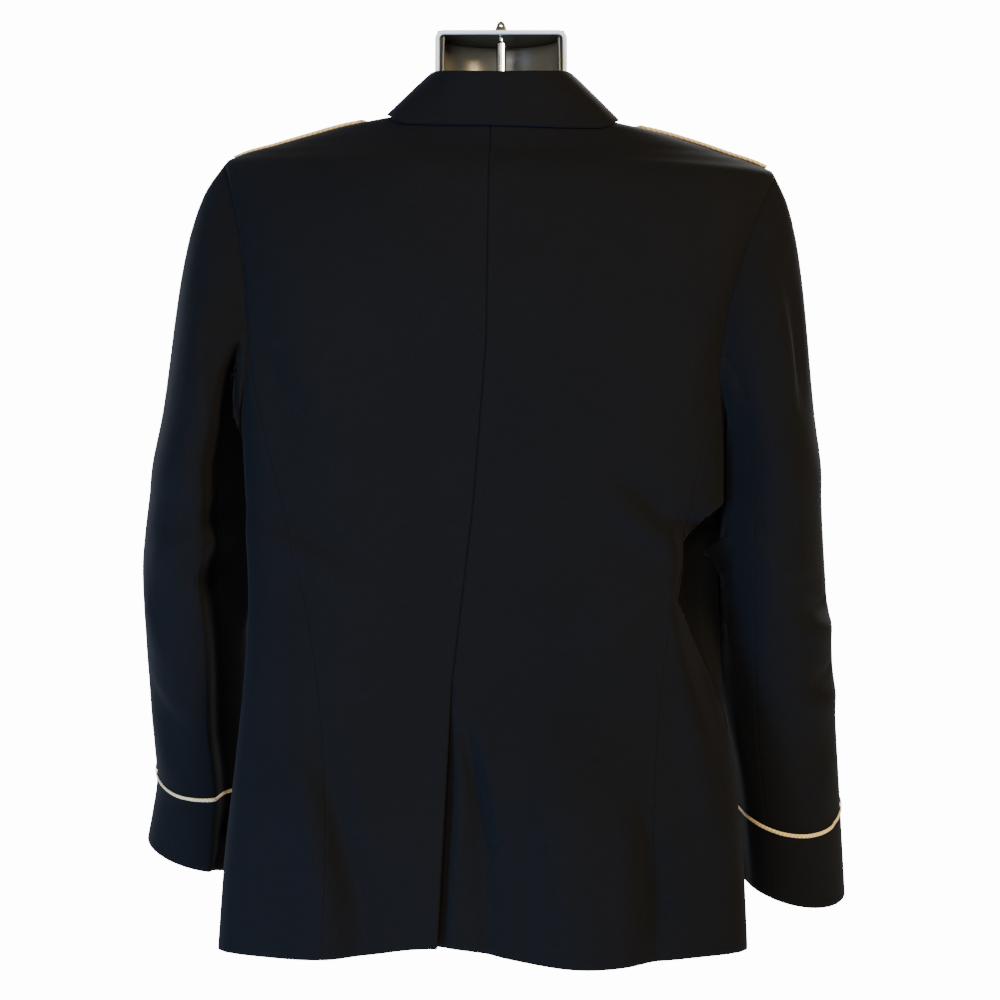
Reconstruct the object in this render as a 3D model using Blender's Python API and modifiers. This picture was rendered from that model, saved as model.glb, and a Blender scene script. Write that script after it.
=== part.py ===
"""Dress uniform jacket on a hollow-backed hanging torso form.

Metres, +Z up.  The jacket's front faces -Y and the wearer's left is +X.
The origin is the eye of the ferrule that the form hangs by.
The body cloth lies on one surface, torso(), measured round it with a tape from the centre back.
"""
import math

import bmesh
import bpy
import numpy as np
from mathutils import Vector

# Cloth and seams
CLOTH = 0.0018
GAP = 0.0003
LAP_DEPTH = CLOTH + 5 * GAP

# Sections of the body: height, half width on each side, y of the widest line, of the back and
# of the front, and how square the section is behind and in front (2 is an ellipse)
BODY_COLUMNS = ("z", "left", "right", "y_side", "y_back", "y_front", "square_back", "square_front")
BODY_ROWS = (
    (-0.868, 0.2590, 0.2250, 0.045, 0.100, -0.125, 3.2, 2.3),
    (-0.784, 0.2530, 0.2211, 0.045, 0.100, -0.124, 3.2, 2.3),
    (-0.683, 0.2421, 0.2110, 0.043, 0.097, -0.120, 3.2, 2.3),
    (-0.629, 0.2366, 0.2070, 0.041, 0.093, -0.116, 3.2, 2.3),
    (-0.583, 0.2329, 0.2050, 0.040, 0.090, -0.114, 3.2, 2.3),
    (-0.537, 0.2311, 0.2040, 0.038, 0.087, -0.112, 3.2, 2.3),
    (-0.490, 0.2325, 0.2035, 0.036, 0.085, -0.114, 3.2, 2.3),
    (-0.450, 0.2337, 0.2035, 0.036, 0.085, -0.118, 3.2, 2.3),
    (-0.400, 0.2360, 0.2045, 0.034, 0.088, -0.123, 3.2, 2.3),
    (-0.350, 0.2400, 0.2075, 0.032, 0.092, -0.127, 3.1, 2.4),
    (-0.300, 0.2450, 0.2160, 0.028, 0.095, -0.130, 3.0, 2.4),
    (-0.250, 0.2510, 0.2280, 0.022, 0.097, -0.127, 2.9, 2.4),
    (-0.200, 0.2540, 0.2400, 0.014, 0.094, -0.117, 2.6, 2.3),
    (-0.160, 0.2600, 0.2530, 0.006, 0.087, -0.101, 2.2, 2.1),
    (-0.140, 0.2610, 0.2590, 0.002, 0.080, -0.090, 1.9, 1.9),
    (-0.1285, 0.2450, 0.2420, 0.000, 0.073, -0.080, 1.6, 1.7),
    (-0.1182, 0.2110, 0.2110, 0.000, 0.068, -0.073, 1.5, 1.6),
    (-0.1082, 0.1790, 0.1810, -0.002, 0.064, -0.068, 1.5, 1.6),
    (-0.0975, 0.1400, 0.1400, -0.002, 0.062, -0.065, 1.6, 1.7),
    (-0.0905, 0.0960, 0.0960, -0.002, 0.061, -0.064, 2.0, 2.0),
)
SHOULDER_TILT = 0.02
TILT_TOP = -0.20
TILT_END = -0.35

# The largest folds of the skirt behind: x and height of the top end, x and height of the low end,
# half width, and how far out
BACK_FOLDS = (
    (0.150, -0.640, 0.165, -0.900, 0.055, 0.016),
    (-0.060, -0.640, -0.080, -0.900, 0.065, 0.024),
    (0.160, -0.660, 0.121, -0.900, 0.018, -0.006),
    (-0.126, -0.730, -0.138, -0.900, 0.016, -0.007),
    (0.034, -0.640, 0.012, -0.800, 0.010, -0.004),
)
FOLD_FADE = 0.10

# The deep hollow that the right side makes behind the waist: heights of its top and foot edges,
# x where it starts and how far forward it goes
HOLLOW_TOP = (-0.448, -0.492)
HOLLOW_FOOT = (-0.530, -0.720)
HOLLOW_X = (-0.152, -0.180)
HOLLOW_FOOT_X = (-0.185, -0.208)
HOLLOW_DEPTH = 0.055

# Seams, by height: the centre back seam drifts to the wearer's left
CENTRE_SEAM_Z = (-0.90, -0.612, -0.45, -0.30, -0.15, -0.09)
CENTRE_SEAM_X = (0.060, 0.045, 0.026, 0.014, 0.012, 0.010)
VENT_TOP = -0.612
VENT_LAP = 0.035
VENT_NEAR = 0.018
BACK_COLUMNS = 11
SIDE_BACK_X = 0.62
SIDE_FRONT_X = 0.72
HEM = -0.8555
HEM_VENT_LIFT = 0.0100
HEM_VENT_X = 0.060
HEM_VENT_WIDE = 0.060
HEM_RIGHT_DROP = 0.0070
HEM_RIGHT_X = -0.080
HEM_RIGHT_WIDE = 0.070
HEM_FADE = 0.15

# Rows of the body panels between the hem and the armhole, for a joining point at SEAM_ROWS_TOP
SEAM_ROWS_Z = (HEM, -0.82, -0.78, -0.73, -0.68, -0.645, VENT_TOP, -0.58, -0.54, -0.505, -0.475,
               -0.45, -0.42, -0.38, -0.34)
SEAM_ROWS_TOP = -0.30
SHOULDER_ROWS = 8
FRONT_COLUMNS = 9

# Armhole: an oval on the body surface round the side line
ARM_TOP = -0.1335
ARM_LOW = -0.372
ARM_BACK = 0.046
ARM_FRONT = 0.078
ARM_STEPS = 24
ARM_BACK_JOIN = 8
ARM_FRONT_JOIN = 16

# Front: roll line of the lapels, closing and buttons
BREAK_Z = -0.345
ROLL_TOP_Z = -0.118
ROLL_TOP_X = 0.064
CLOSE_LAP = 0.019
BUTTON_Z = (-0.372, -0.462, -0.552, -0.642)
BUTTON_RADIUS = 0.0127
BUTTON_RISE = 0.0060
LOOP_BUTTON_RADIUS = 0.0080
LAPEL_TOP_Z = -0.1255
LAPEL_LOW = {"left": -0.340, "right": -0.288}
LAPEL_LOW_DROP = {"left": 0.0, "right": 0.030}
LAPEL_WIDTH = 0.080
LAPEL_BELLY = 0.10
LAPEL_ROWS = 12
LAPEL_COLUMNS = 7
GORGE_DROP = 0.030
ROLL_PUFF = 0.0025
BUTTON_CLEAR = 0.0005

# Collar: its roll line, from the centre back to the gorge
ROLL_COLUMNS = ("u", "x", "y", "z")
ROLL_ROWS = (
    (0.00, 0.0000, 0.0675, -0.0570),
    (0.20, 0.0350, 0.0630, -0.0555),
    (0.40, 0.0580, 0.0440, -0.0520),
    (0.55, 0.0665, 0.0170, -0.0505),
    (0.70, 0.0690, -0.0200, -0.0590),
    (0.85, 0.0690, -0.0520, -0.0840),
    (1.00, 0.0655, -0.0760, -0.1200),
)
EDGE_COLUMNS = ("u", "z", "turn")
EDGE_ROWS = (
    (0.00, -0.1050, 0.00),
    (0.20, -0.1050, 0.24),
    (0.40, -0.1040, 0.48),
    (0.50, -0.0960, 0.72),
    (0.60, -0.0920, 1.00),
    (0.75, -0.0975, 1.30),
    (1.00, -0.1280, 1.56),
)
COLLAR_CLOTH = 0.0022
COLLAR_LIFT = 0.0040
COLLAR_EDGE_RISE = {"left": 0.0008, "right": 0.0}
COLLAR_SECTIONS = 31
NECK_SHARE = 0.62
NECK_FRONT_X = 0.0725
SLOT_DEPTH = 0.007
FALL_AT = 0.6
FALL_NEAR = 0.2
FALL_BELLY = 0.0004

# Sleeves, from under the arm to the cuff: height, x of the outer side, half width across,
# y of the middle, half depth
SLEEVE_ROWS = {
    "left": (
        (-0.405, 0.3245, 0.0420, 0.004, 0.086),
        (-0.455, 0.3310, 0.0475, -0.003, 0.082),
        (-0.512, 0.3375, 0.0495, -0.014, 0.077),
        (-0.590, 0.3375, 0.0500, -0.035, 0.069),
        (-0.650, 0.3360, 0.0480, -0.052, 0.064),
        (-0.712, 0.3335, 0.0480, -0.068, 0.058),
        (-0.785, 0.3450, 0.0520, -0.085, 0.053),
    ),
    "right": (
        (-0.405, 0.2985, 0.0446, 0.004, 0.086),
        (-0.455, 0.3010, 0.0480, -0.003, 0.082),
        (-0.512, 0.3055, 0.0495, -0.014, 0.077),
        (-0.590, 0.3150, 0.0535, -0.030, 0.069),
        (-0.650, 0.3200, 0.0540, -0.042, 0.063),
        (-0.740, 0.3270, 0.0520, -0.054, 0.057),
        (-0.813, 0.3325, 0.0510, -0.063, 0.053),
    ),
}
CUFF_TILT = {"left": 0.13, "right": -0.25}
CUFF_DIP = {"left": 0.04, "right": 0.20}
CUFF_FADE = 1.6
SLEEVE_HEAD_ROWS = 8
HEAD_OUT_TOP = {"left": 0.150, "right": 0.095}
HEAD_OUT_LOW = 0.045
HEAD_SPREAD = 0.05
HEAD_DROP_TOP = 0.150
HEAD_DROP_LOW = 0.050
HEAD_FLARE = {"left": 0.070, "right": 0.045}
HEAD_RUN_TOP = 0.27
HEAD_RUN_LOW = 0.05
SLEEVE_ROWS_BELOW = 12
SEAM_CORNER = 0.0016
TOP_SLEEVE_START = 8
TOP_SLEEVE_END = 19
BRAID_WIDTH = 0.0032
BRAID_THICK = 0.0012
CUFF_BRAID_ABOVE = {"left": 0.071, "right": 0.066}
CUFF_BRAID_RISE = {"left": 0.010, "right": 0.015}

# Shoulder loops
LOOP_THICK = 0.0022
LOOP_CLEAR = 0.0008
LOOP_NECK_Z = -0.0948
LOOP_TIP_Z = -0.1310
LOOP_HALF_NECK = 0.019
LOOP_HALF_TIP = 0.027
LOOP_POINT = 0.10
LOOP_POINT_ROWS = (0, 0.02, 0.05)
LOOP_ROWS = 9
LOOP_COLUMNS = 7
LOOP_FORWARD = 0.018
LOOP_SHIFT = {"left": 0.014, "right": 0.008}
LOOP_END_INSET = 0.024
LOOP_BUTTON_SHARE = 0.14
LOOP_BUTTON_RISE = 0.0045
LOOP_BUTTON_CLEAR = 0.0005

# Torso form: height, half width, y of the edges, y of the front, squareness
FORM_COLUMNS = ("z", "half", "y_side", "y_front", "square")
FORM_ROWS = (
    (-0.6400, 0.1400, 0.020, -0.100, 2.2),
    (-0.5400, 0.1460, 0.018, -0.100, 2.2),
    (-0.4800, 0.1560, 0.016, -0.104, 2.2),
    (-0.4200, 0.1740, 0.014, -0.110, 2.3),
    (-0.3400, 0.1900, 0.012, -0.117, 2.3),
    (-0.2600, 0.2060, 0.008, -0.115, 2.3),
    (-0.2000, 0.2160, 0.004, -0.102, 2.1),
    (-0.1550, 0.2220, 0.000, -0.084, 1.9),
    (-0.1340, 0.2220, 0.000, -0.072, 1.6),
    (-0.1190, 0.2070, 0.000, -0.064, 1.5),
    (-0.1081, 0.1750, -0.002, -0.060, 1.45),
    (-0.0973, 0.1350, -0.002, -0.057, 1.5),
    (-0.0925, 0.0910, -0.002, -0.055, 1.8),
    (-0.0870, 0.0680, -0.003, -0.055, 2.0),
    (-0.0700, 0.0610, -0.003, -0.055, 2.0),
    (-0.0400, 0.0608, -0.003, -0.056, 2.0),
    (-0.0105, 0.0600, -0.003, -0.056, 2.0),
)
FORM_STEPS = 23
FORM_WALL = 0.0025
FORM_BACK_DEPTH = 0.030
FORM_BACK_SWING = math.radians(25)
FORM_TILT_TOP = -0.087
FORM_TILT_LOW = -0.099
PLATE_TOP = -0.0066
PLATE_THICK = 0.0036
PLATE_RADIUS = 0.0605
PLATE_Y = -0.003
PLATE_BACK_Y = 0.010
STEM_RADIUS = 0.0048
STEM_NECK_RADIUS = 0.0022
STEM_NECK = 0.0040
STEM_LOW = -0.0450
FERRULE_TOP = 0.0042
FERRULE_TOP_RADIUS = 0.0038
FERRULE_LOW_RADIUS = 0.0064
EYE_RADIUS = 0.0016

LEFT = "left"
RIGHT = "right"
SIGN = {LEFT: 1.0, RIGHT: -1.0}

# Colours: base colour, metallic, roughness
FINISH = {
    "cloth": ((0.011, 0.012, 0.016), 0.0, 0.85),
    "braid": ((0.78, 0.55, 0.20), 0.3, 0.5),
    "button": ((0.80, 0.60, 0.25), 1.0, 0.3),
    "form": ((0.03, 0.03, 0.026), 0.0, 0.3),
    "plate": ((0.75, 0.75, 0.70), 0.6, 0.35),
    "chrome": ((0.80, 0.80, 0.78), 1.0, 0.12),
    "ferrule": ((0.35, 0.30, 0.20), 1.0, 0.4),
}


def smooth_step(low, high, value):
    t = np.clip((np.asarray(value, float) - low) / (high - low), 0, 1)
    return t * t * (3 - 2 * t)


def through(knots, values, at):
    """Monotone cubic through the knots, so that a section never overshoots its neighbours."""
    knots = np.asarray(knots, float)
    values = np.asarray(values, float)
    step = np.diff(knots)
    slope = np.diff(values) / step
    tangent = np.zeros_like(values)
    same = slope[:-1] * slope[1:] > 0
    first, second = slope[:-1][same], slope[1:][same]
    tangent[1:-1][same] = 2 * first * second / (first + second)
    tangent[0], tangent[-1] = slope[0], slope[-1]
    at = np.clip(np.asarray(at, float), knots[0], knots[-1])
    i = np.clip(np.searchsorted(knots, at) - 1, 0, len(step) - 1)
    h = step[i]
    t = (at - knots[i]) / h
    return (
        (1 + 2 * t) * (1 - t) ** 2 * values[i]
        + t * (1 - t) ** 2 * h * tangent[i]
        + t * t * (3 - 2 * t) * values[i + 1]
        + t * t * (t - 1) * h * tangent[i + 1]
    )


class Body:
    """The surface that the body cloth lies on, sampled once and then read by tape length."""

    levels = 400
    steps = 500

    def __init__(self):
        table = dict(zip(BODY_COLUMNS, np.array(BODY_ROWS).T))
        rise = np.diff(table["z"])
        reach = np.diff((table["left"] + table["right"]) / 2)
        length = np.concatenate([[0], np.cumsum(np.hypot(rise, reach))])
        self.v = np.linspace(0, 1, self.levels)
        row = {c: through(length / length[-1], table[c], self.v) for c in BODY_COLUMNS}
        self.z = row["z"]
        turn = np.linspace(0, math.pi, self.steps)
        sine, cosine = np.abs(np.sin(turn)), np.abs(np.cos(turn))
        behind = turn <= math.pi / 2
        self.points, self.tape, self.side_tape = {}, {}, {}
        for side in (LEFT, RIGHT):
            power = np.where(behind, 2 / row["square_back"][:, None], 2 / row["square_front"][:, None])
            x = SIGN[side] * row[side][:, None] * sine ** power
            end = np.where(behind, row["y_back"][:, None], row["y_front"][:, None])
            y = row["y_side"][:, None] + (end - row["y_side"][:, None]) * cosine ** power
            z = np.repeat(self.z[:, None], self.steps, 1)
            self.points[side] = np.stack([x, y, z], -1)
            hop = np.linalg.norm(np.diff(self.points[side], axis=1), axis=-1)
            self.tape[side] = np.concatenate([np.zeros((self.levels, 1)), np.cumsum(hop, 1)], 1)
            middle = self.steps // 2
            self.side_tape[side] = (self.tape[side][:, middle] + self.tape[side][:, middle - 1]) / 2

    def level(self, z):
        return np.interp(z, self.z, self.v)

    def side_line(self, side, v):
        """Tape length from the centre back to the side."""
        return np.interp(v, self.v, self.side_tape[side])

    def front_line(self, side, v):
        """Tape length from the centre back to the centre front."""
        return np.interp(v, self.v, self.tape[side][:, -1])

    def tape_at(self, side, v, x, front):
        """Tape length at which the section at v has this x, behind or in front."""
        place = float(v) * (self.levels - 1)
        row = min(int(place), self.levels - 2)
        middle = self.steps // 2
        found = []
        for at in (row, row + 1):
            tape = self.tape[side][at]
            along = SIGN[side] * self.points[side][at][:, 0]
            if front:
                found.append(np.interp(-SIGN[side] * x, -along[middle:], tape[middle:]))
            else:
                found.append(np.interp(SIGN[side] * x, along[:middle], tape[:middle]))
        return float(found[0] + (found[1] - found[0]) * (place - row))

    def read(self, side, v, tape):
        """Points on one side, for tape lengths from the centre back to the centre front."""
        place = np.clip(v, 0, 1) * (self.levels - 1)
        low = np.minimum(place.astype(int), self.levels - 2)
        part = (place - low)[..., None]
        found = []
        for row in (low, low + 1):
            total = self.tape[side][row, -1]
            share = np.clip(tape / self.front_line(side, np.clip(v, 0, 1)), 0, 1) * total
            flat_row, flat_share = row.ravel(), share.ravel()
            out = np.empty((flat_row.size, 3))
            for r in np.unique(flat_row):
                pick = flat_row == r
                for axis in range(3):
                    out[pick, axis] = np.interp(
                        flat_share[pick], self.tape[side][r], self.points[side][r][:, axis]
                    )
            found.append(out.reshape(row.shape + (3,)))
        return found[0] * (1 - part) + found[1] * part


BODY = Body()


def plain_torso(side, v, tape):
    """The surface before its folds; the tape runs on past the centre back and the centre front."""
    v, tape = np.broadcast_arrays(np.asarray(v, float), np.asarray(tape, float))
    other = RIGHT if side == LEFT else LEFT
    front = BODY.front_line(side, v)
    across = np.where(tape > front, BODY.front_line(other, v) - (tape - front), -tape)
    near = BODY.read(side, v, np.clip(tape, 0, front))
    far = BODY.read(other, v, np.clip(across, 0, None))
    outside = ((tape < 0) | (tape > front))[..., None]
    return np.where(outside, far, near)


def torso(side, v, tape):
    """The surface with the back's folds and the uneven shoulders."""
    point = plain_torso(side, v, tape)
    x, z = point[..., 0], point[..., 2]
    behind = smooth_step(0.0, 0.05, point[..., 1])
    for x_top, z_top, x_low, z_low, half_width, out in BACK_FOLDS:
        along = np.clip((z - z_top) / (z_low - z_top), 0, 1)
        middle = x_top + (x_low - x_top) * along
        fade = smooth_step(z_top + FOLD_FADE * 0.2, z_top - FOLD_FADE, z)
        point[..., 1] += out * behind * fade * np.exp(-(((x - middle) / half_width) ** 2))
    down = smooth_step(HOLLOW_FOOT[0], HOLLOW_FOOT[1], z)
    near = HOLLOW_X[0] + (HOLLOW_FOOT_X[0] - HOLLOW_X[0]) * down
    far = HOLLOW_X[1] + (HOLLOW_FOOT_X[1] - HOLLOW_X[1]) * down
    share = np.clip((x - near) / (far - near), 0, 1)
    reach = share * share * (3 - 2 * share) * smooth_step(HOLLOW_TOP[0], HOLLOW_TOP[1], z) * (1 - down)
    point[..., 1] -= HOLLOW_DEPTH * reach * smooth_step(-0.02, 0.04, point[..., 1])
    point[..., 2] += SHOULDER_TILT * x * smooth_step(TILT_END, TILT_TOP, z)
    return point


def normal_to(surface, first, second, step=(0.004, 0.003)):
    """Unit normals of a surface of two parameters, by small steps either way."""
    along_first = surface(first + step[0], second) - surface(first - step[0], second)
    along_second = surface(first, second + step[1]) - surface(first, second - step[1])
    across = np.cross(along_second, along_first)
    return across / np.linalg.norm(across, axis=-1, keepdims=True)


def torso_outward(side, v, tape):
    """Unit normals of the body surface, pointing out of the jacket."""
    v, tape = np.broadcast_arrays(np.asarray(v, float), np.asarray(tape, float))
    lower = np.minimum(v, 1 - 0.0041)
    return -SIGN[side] * normal_to(lambda a, b: torso(side, a, b), lower, tape)


def centre_seam(z):
    return np.interp(z, CENTRE_SEAM_Z, CENTRE_SEAM_X)


def armhole(side, step):
    """Level and tape of the armhole, step 0 at the shoulder, then down the back and up the front."""
    turn = 2 * math.pi * step / ARM_STEPS
    z = ARM_TOP + (ARM_LOW - ARM_TOP) * (1 - math.cos(turn)) / 2
    v = float(BODY.level(z))
    width = ARM_BACK if math.sin(turn) > 0 else ARM_FRONT
    return v, float(BODY.side_line(side, v)) - width * math.sin(turn)


def collection(name):
    made = bpy.data.collections.new(name)
    bpy.context.scene.collection.children.link(made)
    return made


def material(name):
    made = bpy.data.materials.get(name)
    if made:
        return made
    made = bpy.data.materials.new(name)
    made.use_nodes = True
    colour, metallic, roughness = FINISH[name]
    shader = made.node_tree.nodes["Principled BSDF"]
    shader.inputs["Base Color"].default_value = (*colour, 1)
    shader.inputs["Metallic"].default_value = metallic
    shader.inputs["Roughness"].default_value = roughness
    return made


def place(name, mesh, finish, angle=40):
    """Put a finished mesh in the scene as one sub-part."""
    mesh.materials.append(material(finish))
    mesh.shade_smooth()
    mesh.set_sharp_from_angle(angle=math.radians(angle))
    made = bpy.data.objects.new(name, mesh)
    PARTS.objects.link(made)
    return made


def wall(name, outer, inner, finish, round_it=False):
    """A closed wall lofted between two grids of points; round_it joins the last column to the first."""
    rows, columns = outer.shape[:2]
    mesh = bmesh.new()
    layers = [[[mesh.verts.new(p) for p in row] for row in grid] for grid in (outer, inner)]
    last = columns if round_it else columns - 1
    for layer in layers:
        for i in range(rows - 1):
            for j in range(last):
                k = (j + 1) % columns
                mesh.faces.new((layer[i][j], layer[i][k], layer[i + 1][k], layer[i + 1][j]))
    top, low = layers
    for i in (0, rows - 1):
        for j in range(last):
            k = (j + 1) % columns
            mesh.faces.new((top[i][j], top[i][k], low[i][k], low[i][j]))
    if not round_it:
        for j in (0, columns - 1):
            for i in range(rows - 1):
                mesh.faces.new((top[i][j], top[i + 1][j], low[i + 1][j], low[i][j]))
    bmesh.ops.recalc_face_normals(mesh, faces=mesh.faces)
    data = bpy.data.meshes.new(name)
    mesh.to_mesh(data)
    mesh.free()
    return place(name, data, finish)


def cloth_on_torso(name, side, v, tape, lift=0.0, thick=CLOTH, finish="cloth"):
    """A wall on the body surface, lift above it; v and tape are grids."""
    point = torso(side, v, tape)
    out = torso_outward(side, v, tape)
    lift = np.broadcast_to(lift, v.shape)[..., None]
    return wall(name, point + out * (lift + thick), point + out * lift, finish)


def spread(first, last, count):
    """Rows between two boundaries, each an array of the same length."""
    share = np.linspace(0, 1, count)
    return first[:, None] * (1 - share) + last[:, None] * share


def hem_level(x):
    """Level of the hem behind: it lifts at the vent and drops on the right."""
    lift = HEM_VENT_LIFT * np.exp(-(((x - HEM_VENT_X) / HEM_VENT_WIDE) ** 2))
    drop = HEM_RIGHT_DROP * np.exp(-(((x - HEM_RIGHT_X) / HEM_RIGHT_WIDE) ** 2))
    return BODY.level(HEM + lift - drop)


def seam_levels(top_z):
    """Heights of the rows between the hem and an armhole's joining point."""
    share = (np.array(SEAM_ROWS_Z) - HEM) / (SEAM_ROWS_TOP - HEM)
    return HEM + share * (top_z - HEM)


def join_rows(side, step):
    """Levels from the hem to where a body seam meets the armhole."""
    v, _ = armhole(side, step)
    top_z = float(np.interp(v, BODY.v, BODY.z))
    z = np.append(seam_levels(top_z), top_z)
    return BODY.level(z)


def body_seam(side, v, step, front):
    """Tape lengths of a side seam, from the hem up to its joining point on the armhole."""
    join_v, join_tape = armhole(side, step)
    join_z = float(np.interp(join_v, BODY.v, BODY.z))
    z = np.interp(v, BODY.v, BODY.z)
    low_share = SIDE_FRONT_X if front else SIDE_BACK_X
    tape = []
    for level in v:
        width = abs(float(BODY.read(side, np.array([level]), BODY.side_line(side, np.array([level])))[0, 0]))
        tape.append(BODY.tape_at(side, level, SIGN[side] * low_share * width, front))
    tape = np.array(tape)
    side_tape = BODY.side_line(side, v)
    join_offset = join_tape - float(BODY.side_line(side, join_v))
    climb = smooth_step(HEM, join_z, z) ** 1.5
    return side_tape + (tape - side_tape) * (1 - climb) + join_offset * climb


def shoulder_levels():
    low = armhole(LEFT, 0)[0]
    return np.linspace(low, 1.0, SHOULDER_ROWS)[1:]


def back_panel(side):
    """Left or right back, from the centre seam to the side seam, armhole and shoulder."""
    low_v = join_rows(side, ARM_BACK_JOIN)
    low_edge = body_seam(side, low_v, ARM_BACK_JOIN, front=False)
    arm = [armhole(side, step) for step in range(ARM_BACK_JOIN - 1, -1, -1)]
    top_v = shoulder_levels()
    v = np.concatenate([low_v, [a[0] for a in arm], top_v])
    edge = np.concatenate([low_edge, [a[1] for a in arm], BODY.side_line(side, top_v)]) - GAP / 2
    z = np.interp(v, BODY.v, BODY.z)
    seam = SIGN[side] * centre_seam(z) + GAP / 2
    first = np.stack([seam, seam + VENT_NEAR / 2, seam + VENT_NEAR], 1)
    lift = np.zeros((len(v), BACK_COLUMNS))
    if side == RIGHT:
        below = z <= VENT_TOP + 0.001
        first[below, 0] = seam[below] - VENT_LAP
        first[below, 1] = seam[below] - 4 * GAP
        deep = smooth_step(VENT_TOP + 0.075, VENT_TOP + 0.025, z)
        lift[:, 0] = -LAP_DEPTH * deep
        lift[:, 1] = np.where(below, -LAP_DEPTH, -LAP_DEPTH * deep / 2)
    rest = spread(first[:, 2], edge, BACK_COLUMNS - 2)[:, 1:]
    tape = np.concatenate([first, rest], 1)
    level = np.repeat(v[:, None], BACK_COLUMNS, 1)
    shift = hem_level(SIGN[side] * tape) - BODY.level(HEM)
    level = level + shift * (1 - np.clip(level / HEM_FADE, 0, 1))
    cloth_on_torso(f"back_{side}", side, level, tape, lift)


def front_edge(side, v):
    """Tape length of a front's edge: the closing below the break, the roll line above it."""
    z = np.interp(v, BODY.v, BODY.z)
    slope = (ROLL_TOP_X + CLOSE_LAP) / (ROLL_TOP_Z - BREAK_Z)
    out = []
    for level, height in zip(v, z):
        if height <= BREAK_Z:
            out.append(float(BODY.front_line(side, level)) + CLOSE_LAP)
            continue
        x = -CLOSE_LAP + slope * (height - BREAK_Z)
        if x < 0:
            out.append(float(BODY.front_line(side, level)) - x)
        else:
            out.append(BODY.tape_at(side, level, SIGN[side] * x, True))
    return np.array(out)


def closing_lift(side, v, tape):
    """The left front lies over the right one where they close."""
    if side == RIGHT:
        return np.zeros(np.shape(tape))
    inside = BODY.front_line(side, v) - tape
    return LAP_DEPTH * smooth_step(0.050, 0.024, inside)


def front_panel(side):
    """Left or right front, from the side seam, armhole and shoulder to the roll line and edge."""
    low_v = join_rows(side, ARM_FRONT_JOIN)
    low_edge = body_seam(side, low_v, ARM_FRONT_JOIN, front=True)
    arm = [armhole(side, step) for step in range(ARM_FRONT_JOIN + 1, ARM_STEPS + 1)]
    top_v = shoulder_levels()
    v = np.concatenate([low_v, [a[0] for a in arm], top_v])
    start = np.concatenate([low_edge, [a[1] for a in arm], BODY.side_line(side, top_v)]) + GAP / 2
    tape = spread(start, front_edge(side, v), FRONT_COLUMNS)
    level = np.repeat(v[:, None], FRONT_COLUMNS, 1)
    cloth_on_torso(f"front_{side}", side, level, tape, closing_lift(side, level, tape))


def side_panel(side):
    """The narrow panel under the arm, whose top edge is the foot of the armhole."""
    steps = range(ARM_BACK_JOIN, ARM_FRONT_JOIN + 1)
    top = np.array([armhole(side, step) for step in steps])
    back_v = join_rows(side, ARM_BACK_JOIN)
    front_v = join_rows(side, ARM_FRONT_JOIN)
    back = body_seam(side, back_v, ARM_BACK_JOIN, front=False) + GAP / 2
    front = body_seam(side, front_v, ARM_FRONT_JOIN, front=True) - GAP / 2
    climb = (back_v - back_v[0]) / (back_v[-1] - back_v[0])
    share = (top[:, 1] - top[0, 1]) / (top[-1, 1] - top[0, 1])
    tape = back[:, None] * (1 - share) + front[:, None] * share
    level = back_v[0] + climb[:, None] * (top[:, 0] - back_v[0])
    shift = hem_level(SIGN[side] * tape) - BODY.level(HEM)
    level = level + shift * (1 - np.clip(level / HEM_FADE, 0, 1))
    cloth_on_torso(f"side_{side}", side, level, tape)


def sleeve_ring(side, row, turn, previous):
    """Points of one sleeve section square to the sleeve's run; turn 0 is the outer side."""
    z, x_outer, half_width, y, half_depth = row
    centre = np.array([SIGN[side] * (x_outer - half_width), y, z])
    run = centre - previous
    run /= np.linalg.norm(run)
    fore = np.array([0.0, 1.0, 0.0])
    fore -= run * fore.dot(run)
    fore /= np.linalg.norm(fore)
    across = np.array([SIGN[side], 0.0, 0.0])
    across -= run * across.dot(run)
    across /= np.linalg.norm(across)
    return centre + np.cos(turn)[:, None] * across * half_width + np.sin(turn)[:, None] * fore * half_depth


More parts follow.
